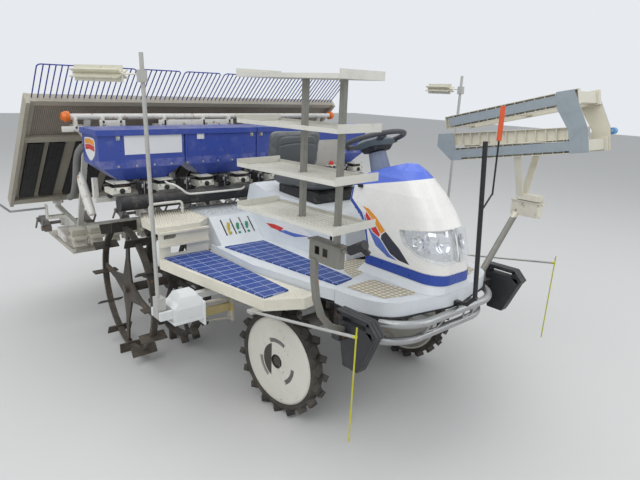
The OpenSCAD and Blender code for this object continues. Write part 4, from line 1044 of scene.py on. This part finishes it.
def shelf_ribs():
    """Low ribs along the four shelves of the right rack, broken at its posts."""
    turn = Matrix.Rotation(math.radians(RACK_TURN), 3, "Z")
    foot = P(*RACK_POST, 0)
    verts, faces = [], []
    for level in range(4):
        z = SHELF_Z + SHELF_PITCH * level
        for y in range(-108, 121, 24):
            spans = ((-506, 86),) if abs(y) > 13 else ((-506, -225), (-199, -12), (12, 86))
            for span in spans:
                k = len(verts)
                for w, h in ((-5, 0), (5, 0), (3, 3.2), (-3, 3.2)):
                    for x in span:
                        verts.append(foot + turn @ Vector((x, y + w, z + h)) / 1000)
                for a in range(0, 8, 2):
                    b = (a + 2) % 8
                    faces.append((k + a, k + a + 1, k + b + 1, k + b))
                faces += [(k, k + 2, k + 4, k + 6), (k + 1, k + 7, k + 5, k + 3)]
    return make("shelf_ribs", verts, faces, "rack", "rack_r")


def lane_belts():
    """The ribbed run of the feed belts over each lane of the seedling table."""
    c, k = math.cos(TABLE_SLOPE), math.sin(TABLE_SLOPE)
    verts, faces = [], []
    w0 = PANEL_TOP + 0.3
    for lane in range(LANES):
        for side in (-1, 1):
            y = (lane - (LANES - 1) / 2) * LANE_PITCH + side * 72 + TABLE_SHIFT
            belt = [(92, 798, 50, 2.5)]
            ribs = [(u, u + 7, 46, 6) for u in range(98, 790, 26)]
            for u0, u1, half, h in belt + ribs:
                faces += box_faces(len(verts))
                for w in (w0, w0 + h):
                    for u, v in ((u0, y - half), (u1, y - half), (u1, y + half), (u0, y + half)):
                        verts.append(P(TABLE_X + u * c - w * k, v, TABLE_Z + u * k + w * c))
    make("lane_belts", verts, faces, "black", "table")


# ---------- small trim ----------
def trim():
    nose = [(240, 505), (360, 505), (440, 504), (540, 481), (640, 437), (697, 367), (726, 215), (750, 105),
            (762, 60), (764, 0)]
    edge = nose + [(x, -y) for x, y in nose[:-1]][::-1]
    tube("nose_strip", [(x - 1, y, 781) for x, y in edge], 5.5, "gap", "chassis", n=6, seg=8)
    sweep = {
        "white": [(-604, 978), (-554, 947), (-412, 928), (-317, 962), (-369, 1004), (-479, 1009)],
        "red": [(-596, 975), (-560, 952), (-500, 946), (-480, 972), (-540, 982)],
        "blue": [(-520, 944), (-412, 933), (-335, 958), (-420, 958), (-470, 962)],
    }
    M["stripe_white"] = mat("stripe_white", (0.80, 0.80, 0.78), 0.3, dust=0.0, var=0.05, spots=0.03,
                              round_r=0)
    for s, d, start in FLANKS:
        for nm, outline in sweep.items():
            long = [(-604 + (x + 604) * 1.45, z) for x, z in outline]
            decal("cover_sweep_%s_%s" % (nm, s), long, ["engine_cover", "main_floor"], d, start,
                  "stripe_" + nm, lift=0.0008 if nm == "white" else 0.0013)
    panel = [(-1057, -580), (-842, -580), (-842, 580), (-1057, 580)]
    decal("rear_panel", panel, ["main_floor"], "z-", 1300, "speckle", step=40, lift=0.001)
    patch = [(-201, 60), (-77, 225), (151, -36), (266, -186), (302, -307), (103, -237)]
    for s, outline in sides(patch):
        decal("side_patch_" + s, outline, ["main_floor", "front_floor"], "z-", FLOOR_TOP, "patch", step=30,
              lift=0.0013)
    for s, side in ((-1, "r"), (1, "l")):
        o = tube("handrail_" + side, handrail(s), 9, "steel_white", "chassis", n=5, seg=14)
        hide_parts("handrails")


# ---------- lamps ----------
def lamp_dressing():
    """The reflector follows the back of each lens, with two round bowls in front of it."""
    lens = NODES["headlamps"].data
    bowl = [(41, 1), (43, 12), (40, 12.5), (30, 6), (13, 2.5), (9, 8), (5, 11), (0.3, 12)]
    for s, side in ((-1, "r"), (1, "l")):
        verts, faces = [], []
        for f in lens.polygons:
            if f.center.y * s > 0 and f.normal.y * s < -0.02:
                k = len(verts)
                verts += [lens.vertices[i].co - f.normal * 0.0012 for i in f.vertices]
                faces.append(tuple(range(k, len(verts)))[::-1])
        make("lamp_back_" + side, verts, faces, "chrome", "chassis")
        places = []
        for x, z in ((598, 1104), (698, 1104)):
            hit = tree("bonnet").ray_cast(P(x, s * SIDE, z), Vector((0, -s, 0)))
            if hit[0] is not None:
                outward = hit[1] if hit[1].y * s > 0 else -hit[1]
                places.append(((x, hit[0].y * 1000, z), outward))
        lathe("lamp_bowls_" + side, places, bowl, "bowl", "chassis", 28)


# ---------- steering wheel ----------
def steering_shroud():
    """The moulded cover around the hub, under the wheel's spokes; each ring is (half x, half y, z)."""
    turn = Matrix.Rotation(math.radians(HUB_LEAN), 3, "Y")
    hub = P(*HUB)
    seg = 36
    lower = [(50, 56, -69), (58, 70, -68), (66, 90, -48), (64, 88, -46)]
    upper = [(64, 88, -46), (67, 92, -45), (76, 112, -22), (76, 112, -14), (66, 100, -3), (48, 80, 4),
             (20, 30, 7)]
    for name, material, rings in (("steering_shroud_lower", "black", lower),
                                  ("steering_shroud", "shroud", upper)):
        verts = []
        for a, b, z in rings:
            for k in range(seg):
                t = 2 * math.pi * k / seg
                u, v = math.cos(t), math.sin(t)
                m = (abs(u) ** 4 + abs(v) ** 4) ** -0.25
                verts.append(hub + turn @ Vector((u * m * a, v * m * b, z)) / 1000)
        make(name, verts, ring_faces(0, len(rings), seg), material, "steering", smooth=True, sharp=30)


camera()
lights()
materials()
dress_nodes()
floor()
bonnet_dressing()
treads()
hopper_dressing()
meter_dressing()
section_dressing()
trim()
front_weights()
shelf_ribs()
lane_belts()
lamp_dressing()
steering_shroud()
levers_dressing()
seat()
